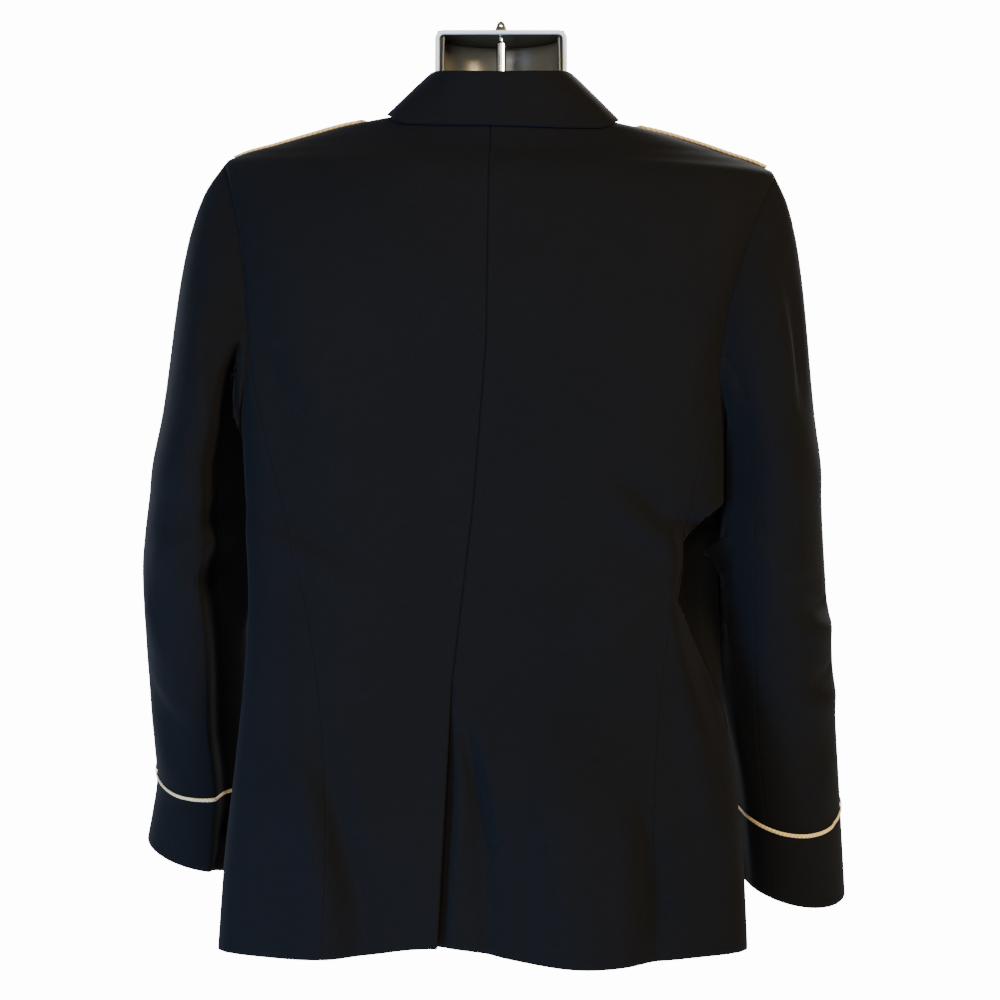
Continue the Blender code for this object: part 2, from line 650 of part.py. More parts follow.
def sleeve_rings(side):
    """All rings of a sleeve, from the armhole to the cuff, ARM_STEPS points each."""
    steps = np.arange(ARM_STEPS)
    turn = 2 * math.pi * steps / ARM_STEPS
    start = np.array([armhole(side, step) for step in steps])
    seam = torso(side, start[:, 0], start[:, 1]) + torso_outward(side, start[:, 0], start[:, 1]) * CLOTH / 2
    table = np.array(SLEEVE_ROWS[side])
    length = np.concatenate([[0], np.cumsum(np.abs(np.diff(table[:, 0])))])
    at = np.linspace(0, length[-1], SLEEVE_ROWS_BELOW)
    rows = np.stack([through(length, table[:, c], at) for c in range(table.shape[1])], 1)
    middle = np.stack([SIGN[side] * (rows[:, 1] - rows[:, 2]), rows[:, 3], rows[:, 0]], 1)
    before = middle[0] * 2 - middle[1]
    rings = []
    for row, centre in zip(rows, middle):
        rings.append(sleeve_ring(side, row, turn, before))
        before = centre
    growth = np.linspace(0, 1, len(rings)) ** CUFF_FADE
    for ring, centre, share in zip(rings, middle, growth):
        ring[:, 2] += share * CUFF_TILT[side] * SIGN[side] * (ring[:, 0] - centre[0])
        ring[:, 2] -= share * CUFF_DIP[side] * (ring[:, 1] - centre[1])
    bicep = rings[0]
    outer = (1 + np.cos(turn)) / 2
    leave = np.stack(
        [
            SIGN[side] * (HEAD_OUT_LOW + (HEAD_OUT_TOP[side] - HEAD_OUT_LOW) * outer),
            HEAD_SPREAD * np.sin(turn),
            -HEAD_DROP_LOW - (HEAD_DROP_TOP - HEAD_DROP_LOW) * outer,
        ],
        1,
    )
    arrive = np.stack(
        [
            SIGN[side] * HEAD_FLARE[side] * outer,
            np.zeros(ARM_STEPS),
            -HEAD_RUN_LOW - (HEAD_RUN_TOP - HEAD_RUN_LOW) * outer,
        ],
        1,
    )
    away = leave / np.linalg.norm(leave, axis=1, keepdims=True)
    seam = seam + away * SEAM_CORNER
    head = []
    for t in np.linspace(0, 1, SLEEVE_HEAD_ROWS)[:-1]:
        head.append(
            (2 * t**3 - 3 * t**2 + 1) * seam
            + (t**3 - 2 * t**2 + t) * leave
            + (3 * t**2 - 2 * t**3) * bicep
            + (t**3 - t**2) * arrive
        )
    return np.array(head + rings)


def ring_outward(rings):
    """Unit normals of a stack of closed rings."""
    along = np.gradient(rings, axis=0)
    around = np.roll(rings, -1, 1) - np.roll(rings, 1, 1)
    across = np.cross(around, along)
    across /= np.linalg.norm(across, axis=-1, keepdims=True)
    away = rings - rings.mean(1, keepdims=True)
    return across * np.sign((across * away).sum(-1, keepdims=True))


def between_columns(rings, first, last, gap):
    """Columns first to last of a ring grid, with both edges drawn in by half a seam gap."""
    pick = np.arange(first, last + 1) % rings.shape[1]
    grid = rings[:, pick].copy()
    for edge, inner in ((0, 1), (-1, -2)):
        toward = grid[:, inner] - grid[:, edge]
        grid[:, edge] += toward / np.linalg.norm(toward, axis=-1, keepdims=True) * gap / 2
    return grid, pick


def sleeve(side):
    """Top sleeve, under sleeve and cuff braid of one side."""
    rings = sleeve_rings(side)
    out = ring_outward(rings)
    for name, first, last in (
        ("under_sleeve", TOP_SLEEVE_START, TOP_SLEEVE_END),
        ("top_sleeve", TOP_SLEEVE_END, TOP_SLEEVE_START + ARM_STEPS),
    ):
        grid, pick = between_columns(rings, first, last, GAP)
        wall(f"{name}_{side}", grid, grid - out[:, pick] * CLOTH, "cloth")
    length = np.concatenate([[0], np.cumsum(np.linalg.norm(np.diff(rings.mean(1), axis=0), axis=1))])
    turn = 2 * math.pi * np.arange(ARM_STEPS) / ARM_STEPS
    above = CUFF_BRAID_ABOVE[side] + CUFF_BRAID_RISE[side] * (1 - np.sin(turn))
    steps = np.arange(ARM_STEPS)
    bands = []
    for wide in (BRAID_WIDTH, 0):
        at = length[-1] - above - wide
        row = np.searchsorted(length, at) - 1
        t = ((at - length[row]) / (length[row + 1] - length[row]))[:, None]
        point = rings[row, steps] * (1 - t) + rings[row + 1, steps] * t
        bands.append(point + (out[row, steps] * (1 - t) + out[row + 1, steps] * t) * GAP)
    inner = np.array(bands)
    away = inner - inner.mean(1, keepdims=True)
    away /= np.linalg.norm(away, axis=-1, keepdims=True)
    wall(f"cuff_braid_{side}", inner + away * BRAID_THICK, inner, "braid", round_it=True)


def neckline(side, part):
    """Level and tape of the collar's seam: round the neck, then down the roll line to the gorge."""
    if part <= NECK_SHARE:
        neck_front = BODY.tape_at(side, 1.0, SIGN[side] * NECK_FRONT_X, True)
        return 1.0, neck_front * part / NECK_SHARE
    down = (part - NECK_SHARE) / (1 - NECK_SHARE)
    v = float(BODY.level(BODY.z[-1] + (ROLL_TOP_Z - BODY.z[-1]) * down))
    return v, float(front_edge(side, np.array([v]))[0])


def collar_edge(side, part):
    """Level and tape of the collar's outer edge, which lies on the body."""
    table = dict(zip(EDGE_COLUMNS, np.array(EDGE_ROWS).T))
    rise = COLLAR_EDGE_RISE[side] * math.sin(math.pi * part)
    v = float(BODY.level(through(table["u"], table["z"], part) + rise))
    turn = float(through(table["u"], table["turn"], part))
    side_tape = float(BODY.side_line(side, v))
    front_tape = float(BODY.front_line(side, v))
    if turn <= 1:
        return v, side_tape * turn
    return v, side_tape + (front_tape - side_tape) * (turn - 1)


def on_torso(side, v, tape, lift):
    """One point on the body surface, moved out by lift."""
    v, tape = np.array([v]), np.array([tape])
    return torso(side, v, tape)[0] + torso_outward(side, v, tape)[0] * lift


def unit(vector):
    return vector / np.linalg.norm(vector)


def collar_section(u):
    """Seam, roll and edge of the collar at u, from -1 to 1; the wearer's left is positive."""
    side = LEFT if u >= 0 else RIGHT
    part = abs(u)
    table = dict(zip(ROLL_COLUMNS, np.array(ROLL_ROWS).T))
    roll = np.array([float(through(table["u"], table[c], part)) for c in ("x", "y", "z")])
    roll[0] *= SIGN[side]
    seam = on_torso(side, *neckline(side, part), COLLAR_LIFT)
    edge = on_torso(side, *collar_edge(side, part), COLLAR_LIFT)
    return seam, roll, edge


def collar():
    """The collar: a stand inside and a fall outside, folded along the roll line."""
    places = np.linspace(-1, 1, COLLAR_SECTIONS)
    spine = np.array([collar_section(u) for u in places])
    along = np.gradient(spine, axis=0)
    half = COLLAR_CLOTH / 2
    outer, inner = [], []
    for (seam, roll, edge), run in zip(spine, along):
        stand_out = unit(np.cross(roll - seam, run[0]))
        stand_out *= np.sign(stand_out.dot(roll * np.array([1.0, 1.0, 0.0])))
        fall_out = unit(np.cross(edge - roll, run[2]))
        fall_out *= np.sign(fall_out.dot(edge - seam + np.array([0.0, 0.0, 0.05])))
        height = np.linalg.norm(roll - seam)
        slot = roll - unit((roll - seam) / height + unit(roll - edge)) * min(SLOT_DEPTH, 0.4 * height)
        middle = (seam + roll) / 2
        fall = edge * FALL_AT + roll * (1 - FALL_AT) + fall_out * FALL_BELLY
        near = roll * (1 - FALL_NEAR) + edge * FALL_NEAR + fall_out * FALL_BELLY * (1 - FALL_NEAR)
        top = roll + unit(roll - (seam + edge) / 2) * half * 0.5
        outer.append((seam - stand_out * half, middle - stand_out * half, roll - stand_out * half,
                      top, roll + fall_out * half, near + fall_out * half, fall + fall_out * half,
                      edge + fall_out * half))
        inner.append((seam + stand_out * half, middle + stand_out * half, slot - stand_out * GAP,
                      slot, slot + fall_out * GAP, near - fall_out * half, fall - fall_out * half,
                      edge - fall_out * half))
    wall("collar", np.array(outer), np.array(inner), "cloth")


def lapel(side):
    """A lapel, which lies on its front from the roll line out to its edge."""
    low = LAPEL_LOW[side]
    rows = np.linspace(0, 1, LAPEL_ROWS)
    across = np.linspace(0, 1, LAPEL_COLUMNS)
    height = low + (LAPEL_TOP_Z - low) * rows
    up = (height - BREAK_Z) / (LAPEL_TOP_Z - BREAK_Z)
    width = LAPEL_WIDTH * (up + LAPEL_BELLY * np.sin(math.pi * up))
    z = height[:, None] - GORGE_DROP * up[:, None] ** 2 * across
    z = z - LAPEL_LOW_DROP[side] * (1 - rows[:, None]) ** 2 * across
    level = BODY.level(z)
    edge = np.stack([front_edge(side, level[:, j]) for j in range(LAPEL_COLUMNS)], 1)
    tape = edge - GAP - width[:, None] * across
    lift = closing_lift(side, level, tape) + CLOTH + 3 * GAP + ROLL_PUFF * (1 - across) ** 3
    cloth_on_torso(f"lapel_{side}", side, level, tape, lift)


def turned(name, profile, finish, steps, at, axis):
    """A turned piece: the profile runs down its outer side, and its axis is pointed along axis."""
    mesh = bpy.data.meshes.new(name)
    edges = [(i, i + 1) for i in range(len(profile) - 1)]
    mesh.from_pydata([(r, 0, z) for r, z in profile], edges, [])
    mesh.materials.append(material(finish))
    made = bpy.data.objects.new(name, mesh)
    PARTS.objects.link(made)
    made.location = at
    made.rotation_euler = Vector(axis).to_track_quat("Z", "Y").to_euler()
    screw = made.modifiers.new("turn", "SCREW")
    screw.steps = screw.render_steps = steps
    screw.use_merge_vertices = True
    screw.merge_threshold = 0.00001
    screw.use_smooth_shade = True
    return made


def dome(radius, rise):
    """Profile of a domed button with a rounded rim, from its top down to its flat back."""
    rim = rise * 0.25
    top = [
        (radius * math.sin(a), rim + (rise - rim) * math.cos(a))
        for a in np.linspace(0, math.pi / 2, 5)
    ]
    return top + [(radius * 0.94, 0), (0, 0)]


def front_buttons():
    for i, z in enumerate(BUTTON_Z):
        v = float(BODY.level(z))
        tape = float(BODY.front_line(LEFT, v))
        lift = LAP_DEPTH + CLOTH + BUTTON_CLEAR
        at = on_torso(LEFT, v, tape, lift)
        axis = torso_outward(LEFT, np.array([v]), np.array([tape]))[0]
        turned(f"front_button_{i + 1}", dome(BUTTON_RADIUS, BUTTON_RISE), "button", 18, at, axis)


def loop_half(share):
    """Half width of a shoulder loop, share 0 at its pointed neck end and 1 at the sleeve."""
    point = np.sqrt(np.clip(share / LOOP_POINT, 0.03, 1))
    return (LOOP_HALF_NECK + (LOOP_HALF_TIP - LOOP_HALF_NECK) * share) * point


def loop_level(share):
    low = BODY.level(LOOP_TIP_Z)
    return BODY.level(LOOP_NECK_Z) + (low - BODY.level(LOOP_NECK_Z)) * share


def shoulder_loop(side):
    """The loop on a shoulder, its gold edge and its button."""
    share = np.concatenate([LOOP_POINT_ROWS, np.linspace(LOOP_POINT, 1, LOOP_ROWS)])
    across = np.linspace(-1, 1, LOOP_COLUMNS)
    v = np.repeat(loop_level(share)[:, None], LOOP_COLUMNS, 1)
    middle = BODY.side_line(side, v) + LOOP_FORWARD + LOOP_SHIFT[side] * share[:, None]
    tape = middle + loop_half(share)[:, None] * across
    base = CLOTH + LOOP_CLEAR
    cloth_on_torso(f"shoulder_loop_{side}", side, v, tape, base, LOOP_THICK)
    outline = np.concatenate([share[::-1], share[1:]])
    sign = np.concatenate([-np.ones(len(share)), np.ones(len(share) - 1)])
    sign[len(share) - 1] = 0
    inset = np.array([0.0, 1.0])
    reach = np.clip(loop_half(outline)[:, None] - BRAID_WIDTH * inset, 0.0008, None) * sign[:, None]
    along = outline[:, None] + inset * LOOP_END_INSET * (1 - outline[:, None])
    along = np.minimum(along, 1.0)
    v = loop_level(along)
    tape = BODY.side_line(side, v) + LOOP_FORWARD + LOOP_SHIFT[side] * along + reach
    cloth_on_torso(
        f"loop_braid_{side}", side, v, tape, base + LOOP_THICK + GAP, BRAID_THICK, "braid"
    )
    v = float(loop_level(LOOP_BUTTON_SHARE))
    tape = float(BODY.side_line(side, v)) + LOOP_FORWARD + LOOP_SHIFT[side] * LOOP_BUTTON_SHARE
    at = on_torso(side, v, tape, base + LOOP_THICK + LOOP_BUTTON_CLEAR)
    axis = torso_outward(side, np.array([v]), np.array([tape]))[0]
    turned(f"loop_button_{side}", dome(LOOP_BUTTON_RADIUS, LOOP_BUTTON_RISE), "button", 14, at, axis)


def form_point(z, turn, table):
    """Points of the form; turn is 0 at the centre front and grows to the wearer's left."""
    half, y_side, y_front, square = (
        through(table["z"], table[c], z) for c in ("half", "y_side", "y_front", "square")
    )
    sine, cosine = np.sin(turn), np.cos(turn)
    x = half * np.sign(sine) * np.abs(sine) ** (2 / square)
    depth = np.where(cosine >= 0, y_front - y_side, FORM_BACK_DEPTH)
    y = y_side + depth * np.abs(cosine) ** (2 / square)
    point = np.stack([x, y, z + 0 * x], -1)
    lean = smooth_step(TILT_END, TILT_TOP, z) * smooth_step(FORM_TILT_TOP, FORM_TILT_LOW, z)
    point[..., 2] += SHOULDER_TILT * x * lean
    return point


def form():
    """The torso form: a plain shell, open at its back and foot, which carries the shoulders."""
    table = dict(zip(FORM_COLUMNS, np.array(FORM_ROWS).T))
    swing = math.pi / 2 + FORM_BACK_SWING
    turn = np.linspace(-swing, swing, FORM_STEPS)
    knots = table["z"]
    z = np.repeat(knots[:, None], len(turn), 1)
    turn = np.repeat(turn[None, :], len(z), 0)
    outer = form_point(z, turn, table)
    along = form_point(np.minimum(z + 0.001, knots[-1]), turn, table) - form_point(z - 0.001, turn, table)
    around = form_point(z, turn + 0.01, table) - form_point(z, turn - 0.01, table)
    out = np.cross(around, along)
    out /= np.linalg.norm(out, axis=-1, keepdims=True)
    wall("torso_form", outer, outer - out * FORM_WALL, "form")


def form_top():
    """Top plate of the form's neck, the stem below it and the ferrule with its eye above it."""
    plate_low = PLATE_TOP - PLATE_THICK
    mesh = bmesh.new()
    bmesh.ops.create_cone(
        mesh, cap_ends=True, segments=32, radius1=PLATE_RADIUS, radius2=PLATE_RADIUS, depth=PLATE_THICK
    )
    bmesh.ops.translate(mesh, verts=mesh.verts, vec=(0, PLATE_Y, (PLATE_TOP + plate_low) / 2))
    whole = mesh.verts[:] + mesh.edges[:] + mesh.faces[:]
    bmesh.ops.bisect_plane(
        mesh, geom=whole, plane_co=(0, PLATE_BACK_Y, 0), plane_no=(0, 1, 0), clear_outer=True
    )
    bmesh.ops.holes_fill(mesh, edges=mesh.edges, sides=0)
    data = bpy.data.meshes.new("neck_plate")
    mesh.to_mesh(data)
    mesh.free()
    place("neck_plate", data, "plate")
    top = plate_low - GAP
    turned(
        "stem",
        [(0, top), (STEM_NECK_RADIUS, top), (STEM_NECK_RADIUS, top - STEM_NECK),
         (STEM_RADIUS, top - STEM_NECK * 1.6)]
        + [(STEM_RADIUS * math.cos(a), STEM_LOW - STEM_RADIUS * math.sin(a))
           for a in np.linspace(0, math.pi / 2, 6)],
        "chrome", 14, (0, 0, 0), (0, 0, 1),
    )
    foot = PLATE_TOP + GAP
    bell = [(FERRULE_TOP_RADIUS * math.sin(a), FERRULE_TOP - FERRULE_TOP_RADIUS * (1 - math.cos(a)))
            for a in np.linspace(0, math.pi * 0.42, 6)]
    ferrule = turned(
        "ferrule", bell + [(FERRULE_LOW_RADIUS, foot), (0, foot)], "ferrule", 16, (0, 0, 0), (0, 0, 1)
    )
    bpy.ops.mesh.primitive_cylinder_add(
        vertices=10, radius=EYE_RADIUS, depth=FERRULE_LOW_RADIUS * 4, rotation=(math.pi / 2, 0, 0)
    )
    cutter = bpy.context.object
    cutter.name = "eye_cutter"
    cutter.hide_render = True
    cutter.display_type = "WIRE"
    for home in list(cutter.users_collection):
        home.objects.unlink(cutter)
    CUTTERS.objects.link(cutter)
    cut = ferrule.modifiers.new("eye", "BOOLEAN")
    cut.object = cutter


def main():
    for side in (LEFT, RIGHT):
        back_panel(side)
        front_panel(side)
        side_panel(side)
        lapel(side)
        sleeve(side)
        shoulder_loop(side)
    collar()
    front_buttons()
    form()
    form_top()


for item in list(bpy.data.objects):
    bpy.data.objects.remove(item)
PARTS = collection("dress uniform jacket")
CUTTERS = collection("cutters")
main()
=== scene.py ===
"""Dress uniform jacket seen from behind on a hanging torso form: cloth, braid, finishes and studio.

Metres, +Z up.  The jacket's front faces -Y and the wearer's left is +X.
The cloth lies on the same surface as the solids in the frame, read at a finer step.
"""
import math

import bmesh
import bpy
import numpy as np
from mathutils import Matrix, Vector


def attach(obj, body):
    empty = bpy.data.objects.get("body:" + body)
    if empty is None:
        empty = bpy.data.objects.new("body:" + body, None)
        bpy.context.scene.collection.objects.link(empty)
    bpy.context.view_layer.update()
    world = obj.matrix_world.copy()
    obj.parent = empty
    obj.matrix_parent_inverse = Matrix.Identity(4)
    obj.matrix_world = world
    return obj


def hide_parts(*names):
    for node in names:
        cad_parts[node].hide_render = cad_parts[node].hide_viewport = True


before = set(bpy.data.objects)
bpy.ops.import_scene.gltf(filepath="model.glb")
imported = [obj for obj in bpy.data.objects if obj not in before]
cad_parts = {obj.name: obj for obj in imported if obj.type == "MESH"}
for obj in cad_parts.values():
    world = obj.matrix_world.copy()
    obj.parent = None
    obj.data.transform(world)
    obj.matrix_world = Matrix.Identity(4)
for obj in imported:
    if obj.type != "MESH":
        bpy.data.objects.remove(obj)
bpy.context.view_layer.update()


# Cloth and seams
CLOTH = 0.0018
GAP = 0.0003
LAP_DEPTH = CLOTH + 5 * GAP
TINY = 1e-12

# Sections of the body: height, half width on each side, y of the widest line, of the back and
# of the front, and how square the section is behind and in front (2 is an ellipse)
BODY_COLUMNS = ("z", "left", "right", "y_side", "y_back", "y_front", "square_back", "square_front")
BODY_ROWS = (
    (-0.868, 0.2590, 0.2250, 0.045, 0.100, -0.125, 3.2, 2.3),
    (-0.784, 0.2530, 0.2211, 0.045, 0.100, -0.124, 3.2, 2.3),
    (-0.683, 0.2421, 0.2110, 0.043, 0.097, -0.120, 3.2, 2.3),
    (-0.629, 0.2366, 0.2070, 0.041, 0.093, -0.116, 3.2, 2.3),
    (-0.583, 0.2329, 0.2050, 0.040, 0.090, -0.114, 3.2, 2.3),
    (-0.537, 0.2311, 0.2040, 0.038, 0.087, -0.112, 3.2, 2.3),
    (-0.490, 0.2325, 0.2035, 0.036, 0.085, -0.114, 3.2, 2.3),
    (-0.450, 0.2337, 0.2035, 0.036, 0.085, -0.118, 3.2, 2.3),
    (-0.400, 0.2360, 0.2045, 0.034, 0.088, -0.123, 3.2, 2.3),
    (-0.350, 0.2400, 0.2075, 0.032, 0.092, -0.127, 3.1, 2.4),
    (-0.300, 0.2450, 0.2160, 0.028, 0.095, -0.130, 3.0, 2.4),
    (-0.250, 0.2510, 0.2280, 0.022, 0.097, -0.127, 2.9, 2.4),
    (-0.200, 0.2540, 0.2400, 0.014, 0.094, -0.117, 2.6, 2.3),
    (-0.160, 0.2600, 0.2530, 0.006, 0.087, -0.101, 2.2, 2.1),
    (-0.140, 0.2610, 0.2590, 0.002, 0.080, -0.090, 1.9, 1.9),
    (-0.1285, 0.2450, 0.2420, 0.000, 0.073, -0.080, 1.6, 1.7),
    (-0.1182, 0.2110, 0.2110, 0.000, 0.068, -0.073, 1.5, 1.6),
    (-0.1082, 0.1790, 0.1810, -0.002, 0.064, -0.068, 1.5, 1.6),
    (-0.0975, 0.1400, 0.1400, -0.002, 0.062, -0.065, 1.6, 1.7),
    (-0.0905, 0.0960, 0.0960, -0.002, 0.061, -0.064, 2.0, 2.0),
)
SHOULDER_TILT = 0.02
TILT_TOP = -0.20
TILT_END = -0.35

# The largest folds of the skirt behind: x and height of the top end, x and height of the low end,
# half width, and how far out
BACK_FOLDS = (
    (0.150, -0.640, 0.165, -0.900, 0.055, 0.016),
    (-0.060, -0.640, -0.080, -0.900, 0.065, 0.024),
    (0.160, -0.660, 0.121, -0.900, 0.018, -0.006),
    (-0.126, -0.730, -0.138, -0.900, 0.016, -0.007),
    (0.034, -0.640, 0.012, -0.800, 0.010, -0.004),
)
FOLD_FADE = 0.10
FOLD_FADE_ABOVE = 0.02
FOLD_BEHIND_Y = 0.05

# Steps in level and tape for reading normals, and the highest level they are read at
NORMAL_STEP = (0.004, 0.003)
NORMAL_TOP = 0.9959

# The deep hollow that the right side makes behind the waist: heights of its top and foot edges,
# x where it starts and how far forward it goes
HOLLOW_TOP = (-0.448, -0.492)
HOLLOW_FOOT = (-0.530, -0.720)
HOLLOW_X = (-0.152, -0.180)
HOLLOW_FOOT_X = (-0.185, -0.208)
HOLLOW_DEPTH = 0.055
HOLLOW_BEHIND_Y = (-0.02, 0.04)

# Seams, by height: the centre back seam drifts to the wearer's left
CENTRE_SEAM_Z = (-0.90, -0.612, -0.45, -0.30, -0.15, -0.09)
CENTRE_SEAM_X = (0.060, 0.045, 0.026, 0.014, 0.012, 0.010)
VENT_TOP = -0.612
VENT_LAP = 0.035
SIDE_BACK_X = 0.62
SIDE_FRONT_X = 0.72
SEAM_CLIMB = 1.5
HEM = -0.8555
HEM_VENT_LIFT = 0.0100
HEM_VENT_X = 0.060
HEM_VENT_WIDE = 0.060
HEM_RIGHT_DROP = 0.0070
HEM_RIGHT_X = -0.080
HEM_RIGHT_WIDE = 0.070
HEM_FADE = 0.15

# Armhole: an oval on the body surface round the side line
ARM_TOP = -0.1335
ARM_LOW = -0.372
ARM_BACK = 0.046
ARM_FRONT = 0.078
ARM_STEPS = 24
ARM_BACK_JOIN = 8
ARM_FRONT_JOIN = 16
ARM_FINE = 0.25

# Front: roll line of the lapels, closing and buttons
BREAK_Z = -0.345
ROLL_TOP_Z = -0.118
ROLL_TOP_X = 0.064
CLOSE_LAP = 0.019
CLOSE_LIFT = (0.050, 0.024)
LAPEL_TOP_Z = -0.1255
LAPEL_LOW = {"left": -0.340, "right": -0.288}
LAPEL_LOW_DROP = {"left": 0.0, "right": 0.030}
LAPEL_WIDTH = 0.080
LAPEL_BELLY = 0.10
GORGE_DROP = 0.030
ROLL_PUFF = 0.0025

# Collar: its roll line, from the centre back to the gorge
ROLL_COLUMNS = ("u", "x", "y", "z")
ROLL_ROWS = (
    (0.00, 0.0000, 0.0675, -0.0570),
    (0.20, 0.0350, 0.0630, -0.0555),
    (0.40, 0.0580, 0.0440, -0.0520),
    (0.55, 0.0665, 0.0170, -0.0505),
    (0.70, 0.0690, -0.0200, -0.0590),
    (0.85, 0.0690, -0.0520, -0.0840),
    (1.00, 0.0655, -0.0760, -0.1200),
)
EDGE_COLUMNS = ("u", "z", "turn")
EDGE_ROWS = (
    (0.00, -0.1050, 0.00),
    (0.20, -0.1050, 0.24),
    (0.40, -0.1040, 0.48),
    (0.50, -0.0960, 0.72),
    (0.60, -0.0920, 1.00),
    (0.75, -0.0975, 1.30),
    (1.00, -0.1280, 1.56),
)
COLLAR_CLOTH = 0.0022
COLLAR_LIFT = 0.0040
COLLAR_EDGE_RISE = {"left": 0.0008, "right": 0.0}
NECK_SHARE = 0.62
NECK_FRONT_X = 0.0725

# The collar's section: shares of its seam, roll and edge, then metres along its stand, its fall
# and the top of the roll, and metres out
COLLAR_KNOTS = (
    (1.0, 0.0, 0.0, 0.0, 0.0, 0.0, 0.0),
    (0.5, 0.5, 0.0, 0.0, 0.0, 0.0, -0.0009),
    (0.0, 1.0, 0.0, 0.0060, 0.0, 0.0, -0.0015),
    (0.0, 1.0, 0.0, 0.0015, 0.0, 0.0, -0.0012),
    (0.0, 1.0, 0.0, 0.0, 0.0, 0.0006, 0.0),
    (0.0, 1.0, 0.0, 0.0, 0.0015, 0.0, 0.0012),
    (0.0, 1.0, 0.0, 0.0, 0.0060, 0.0, 0.0015),
    (0.0, 0.7, 0.3, 0.0, 0.0, 0.0, 0.00145),
    (0.0, 0.35, 0.65, 0.0, 0.0, 0.0, 0.00085),
    (0.0, 0.0, 1.0, 0.0, 0.0, 0.0, 0.0),
)

# Sleeves, from under the arm to the cuff: height, x of the outer side, half width across,
# y of the middle, half depth
SLEEVE_ROWS = {
    "left": (
        (-0.405, 0.3245, 0.0420, 0.004, 0.086),
        (-0.455, 0.3310, 0.0475, -0.003, 0.082),
        (-0.512, 0.3375, 0.0495, -0.014, 0.077),
        (-0.590, 0.3375, 0.0500, -0.035, 0.069),
        (-0.650, 0.3360, 0.0480, -0.052, 0.064),
        (-0.712, 0.3335, 0.0480, -0.068, 0.058),
        (-0.785, 0.3450, 0.0520, -0.085, 0.053),
    ),
    "right": (
        (-0.405, 0.2985, 0.0446, 0.004, 0.086),
        (-0.455, 0.3010, 0.0480, -0.003, 0.082),
        (-0.512, 0.3055, 0.0495, -0.014, 0.077),
        (-0.590, 0.3150, 0.0535, -0.030, 0.069),
        (-0.650, 0.3200, 0.0540, -0.042, 0.063),
        (-0.740, 0.3270, 0.0520, -0.054, 0.057),
        (-0.813, 0.3325, 0.0510, -0.063, 0.053),
    ),
}
CUFF_TILT = {"left": 0.13, "right": -0.25}
CUFF_DIP = {"left": 0.04, "right": 0.20}
CUFF_FADE = 1.6
SLEEVE_HEAD_ROWS = 8
HEAD_OUT_TOP = {"left": 0.150, "right": 0.095}
HEAD_OUT_LOW = 0.045
HEAD_SPREAD = 0.05
HEAD_DROP_TOP = 0.150
HEAD_DROP_LOW = 0.050
HEAD_FLARE = {"left": 0.070, "right": 0.045}
HEAD_RUN_TOP = 0.27
HEAD_RUN_LOW = 0.05
SLEEVE_ROWS_BELOW = 12
SEAM_CORNER = 0.0016
TOP_SLEEVE_START = 8
TOP_SLEEVE_END = 19
BRAID_WIDTH = 0.0032
BRAID_THICK = 0.0012
BRAID_WALL = BRAID_THICK / 2
BRAID_LIFT = (0.15, 0.55)
CUFF_BRAID_ABOVE = {"left": 0.071, "right": 0.066}
CUFF_BRAID_RISE = {"left": 0.010, "right": 0.015}
BRAID_TALL = 0.0013
BRAID_BULGE = 0.0009

# Shoulder loops
LOOP_THICK = 0.0022
LOOP_CLEAR = 0.0008
LOOP_NECK_Z = -0.0948
LOOP_TIP_Z = -0.1310
LOOP_HALF_NECK = 0.019
LOOP_HALF_TIP = 0.027
LOOP_POINT = 0.10
LOOP_FORWARD = 0.018
LOOP_SHIFT = {"left": 0.014, "right": 0.008}
LOOP_END_INSET = 0.024
LOOP_BLUNT = 0.03
LOOP_LEAST = 0.0008
LOOP_LIFT = CLOTH + LOOP_CLEAR + (LOOP_THICK - CLOTH) / 2
LOOP_NECK_SHARES = (0, 0.01, 0.02, 0.035, 0.05, 0.075)
LOOP_BRAID_TURN = (-80, -45, 0, 45, 80)

# Torso form: height, half width, y of the edges, y of the front, squareness
FORM_COLUMNS = ("z", "half", "y_side", "y_front", "square")
FORM_ROWS = (
    (-0.6400, 0.1400, 0.020, -0.100, 2.2),
    (-0.5400, 0.1460, 0.018, -0.100, 2.2),
    (-0.4800, 0.1560, 0.016, -0.104, 2.2),
    (-0.4200, 0.1740, 0.014, -0.110, 2.3),
    (-0.3400, 0.1900, 0.012, -0.117, 2.3),
    (-0.2600, 0.2060, 0.008, -0.115, 2.3),
    (-0.2000, 0.2160, 0.004, -0.102, 2.1),
    (-0.1550, 0.2220, 0.000, -0.084, 1.9),
    (-0.1340, 0.2220, 0.000, -0.072, 1.6),
    (-0.1190, 0.2070, 0.000, -0.064, 1.5),
    (-0.1081, 0.1750, -0.002, -0.060, 1.45),
    (-0.0973, 0.1350, -0.002, -0.057, 1.5),
    (-0.0925, 0.0910, -0.002, -0.055, 1.8),
    (-0.0870, 0.0680, -0.003, -0.055, 2.0),
    (-0.0700, 0.0610, -0.003, -0.055, 2.0),
    (-0.0400, 0.0608, -0.003, -0.056, 2.0),
    (-0.0105, 0.0600, -0.003, -0.056, 2.0),
)
FORM_WALL = 0.0025
FORM_BACK_DEPTH = 0.030
FORM_BACK_SWING = math.radians(25)
FORM_TILT_TOP = -0.087
FORM_TILT_LOW = -0.099
FORM_CORE_Y = 0.02

# The pale edge of the neck's open back
RIM_HALF = 0.0614
RIM_TOP = -0.0062
RIM_LOW = -0.0800
RIM_CORNER = 0.0080
RIM_Y = 0.0116
RIM_WALL = 0.0008
RIM_SECTION = (
    (-0.0034, -0.0024), (-0.0030, -0.0004), (-0.0015, 0.0), (-0.0003, -0.0004), (0.0, -0.0024),
)

LEFT = "left"
RIGHT = "right"
SIGN = {LEFT: 1.0, RIGHT: -1.0}

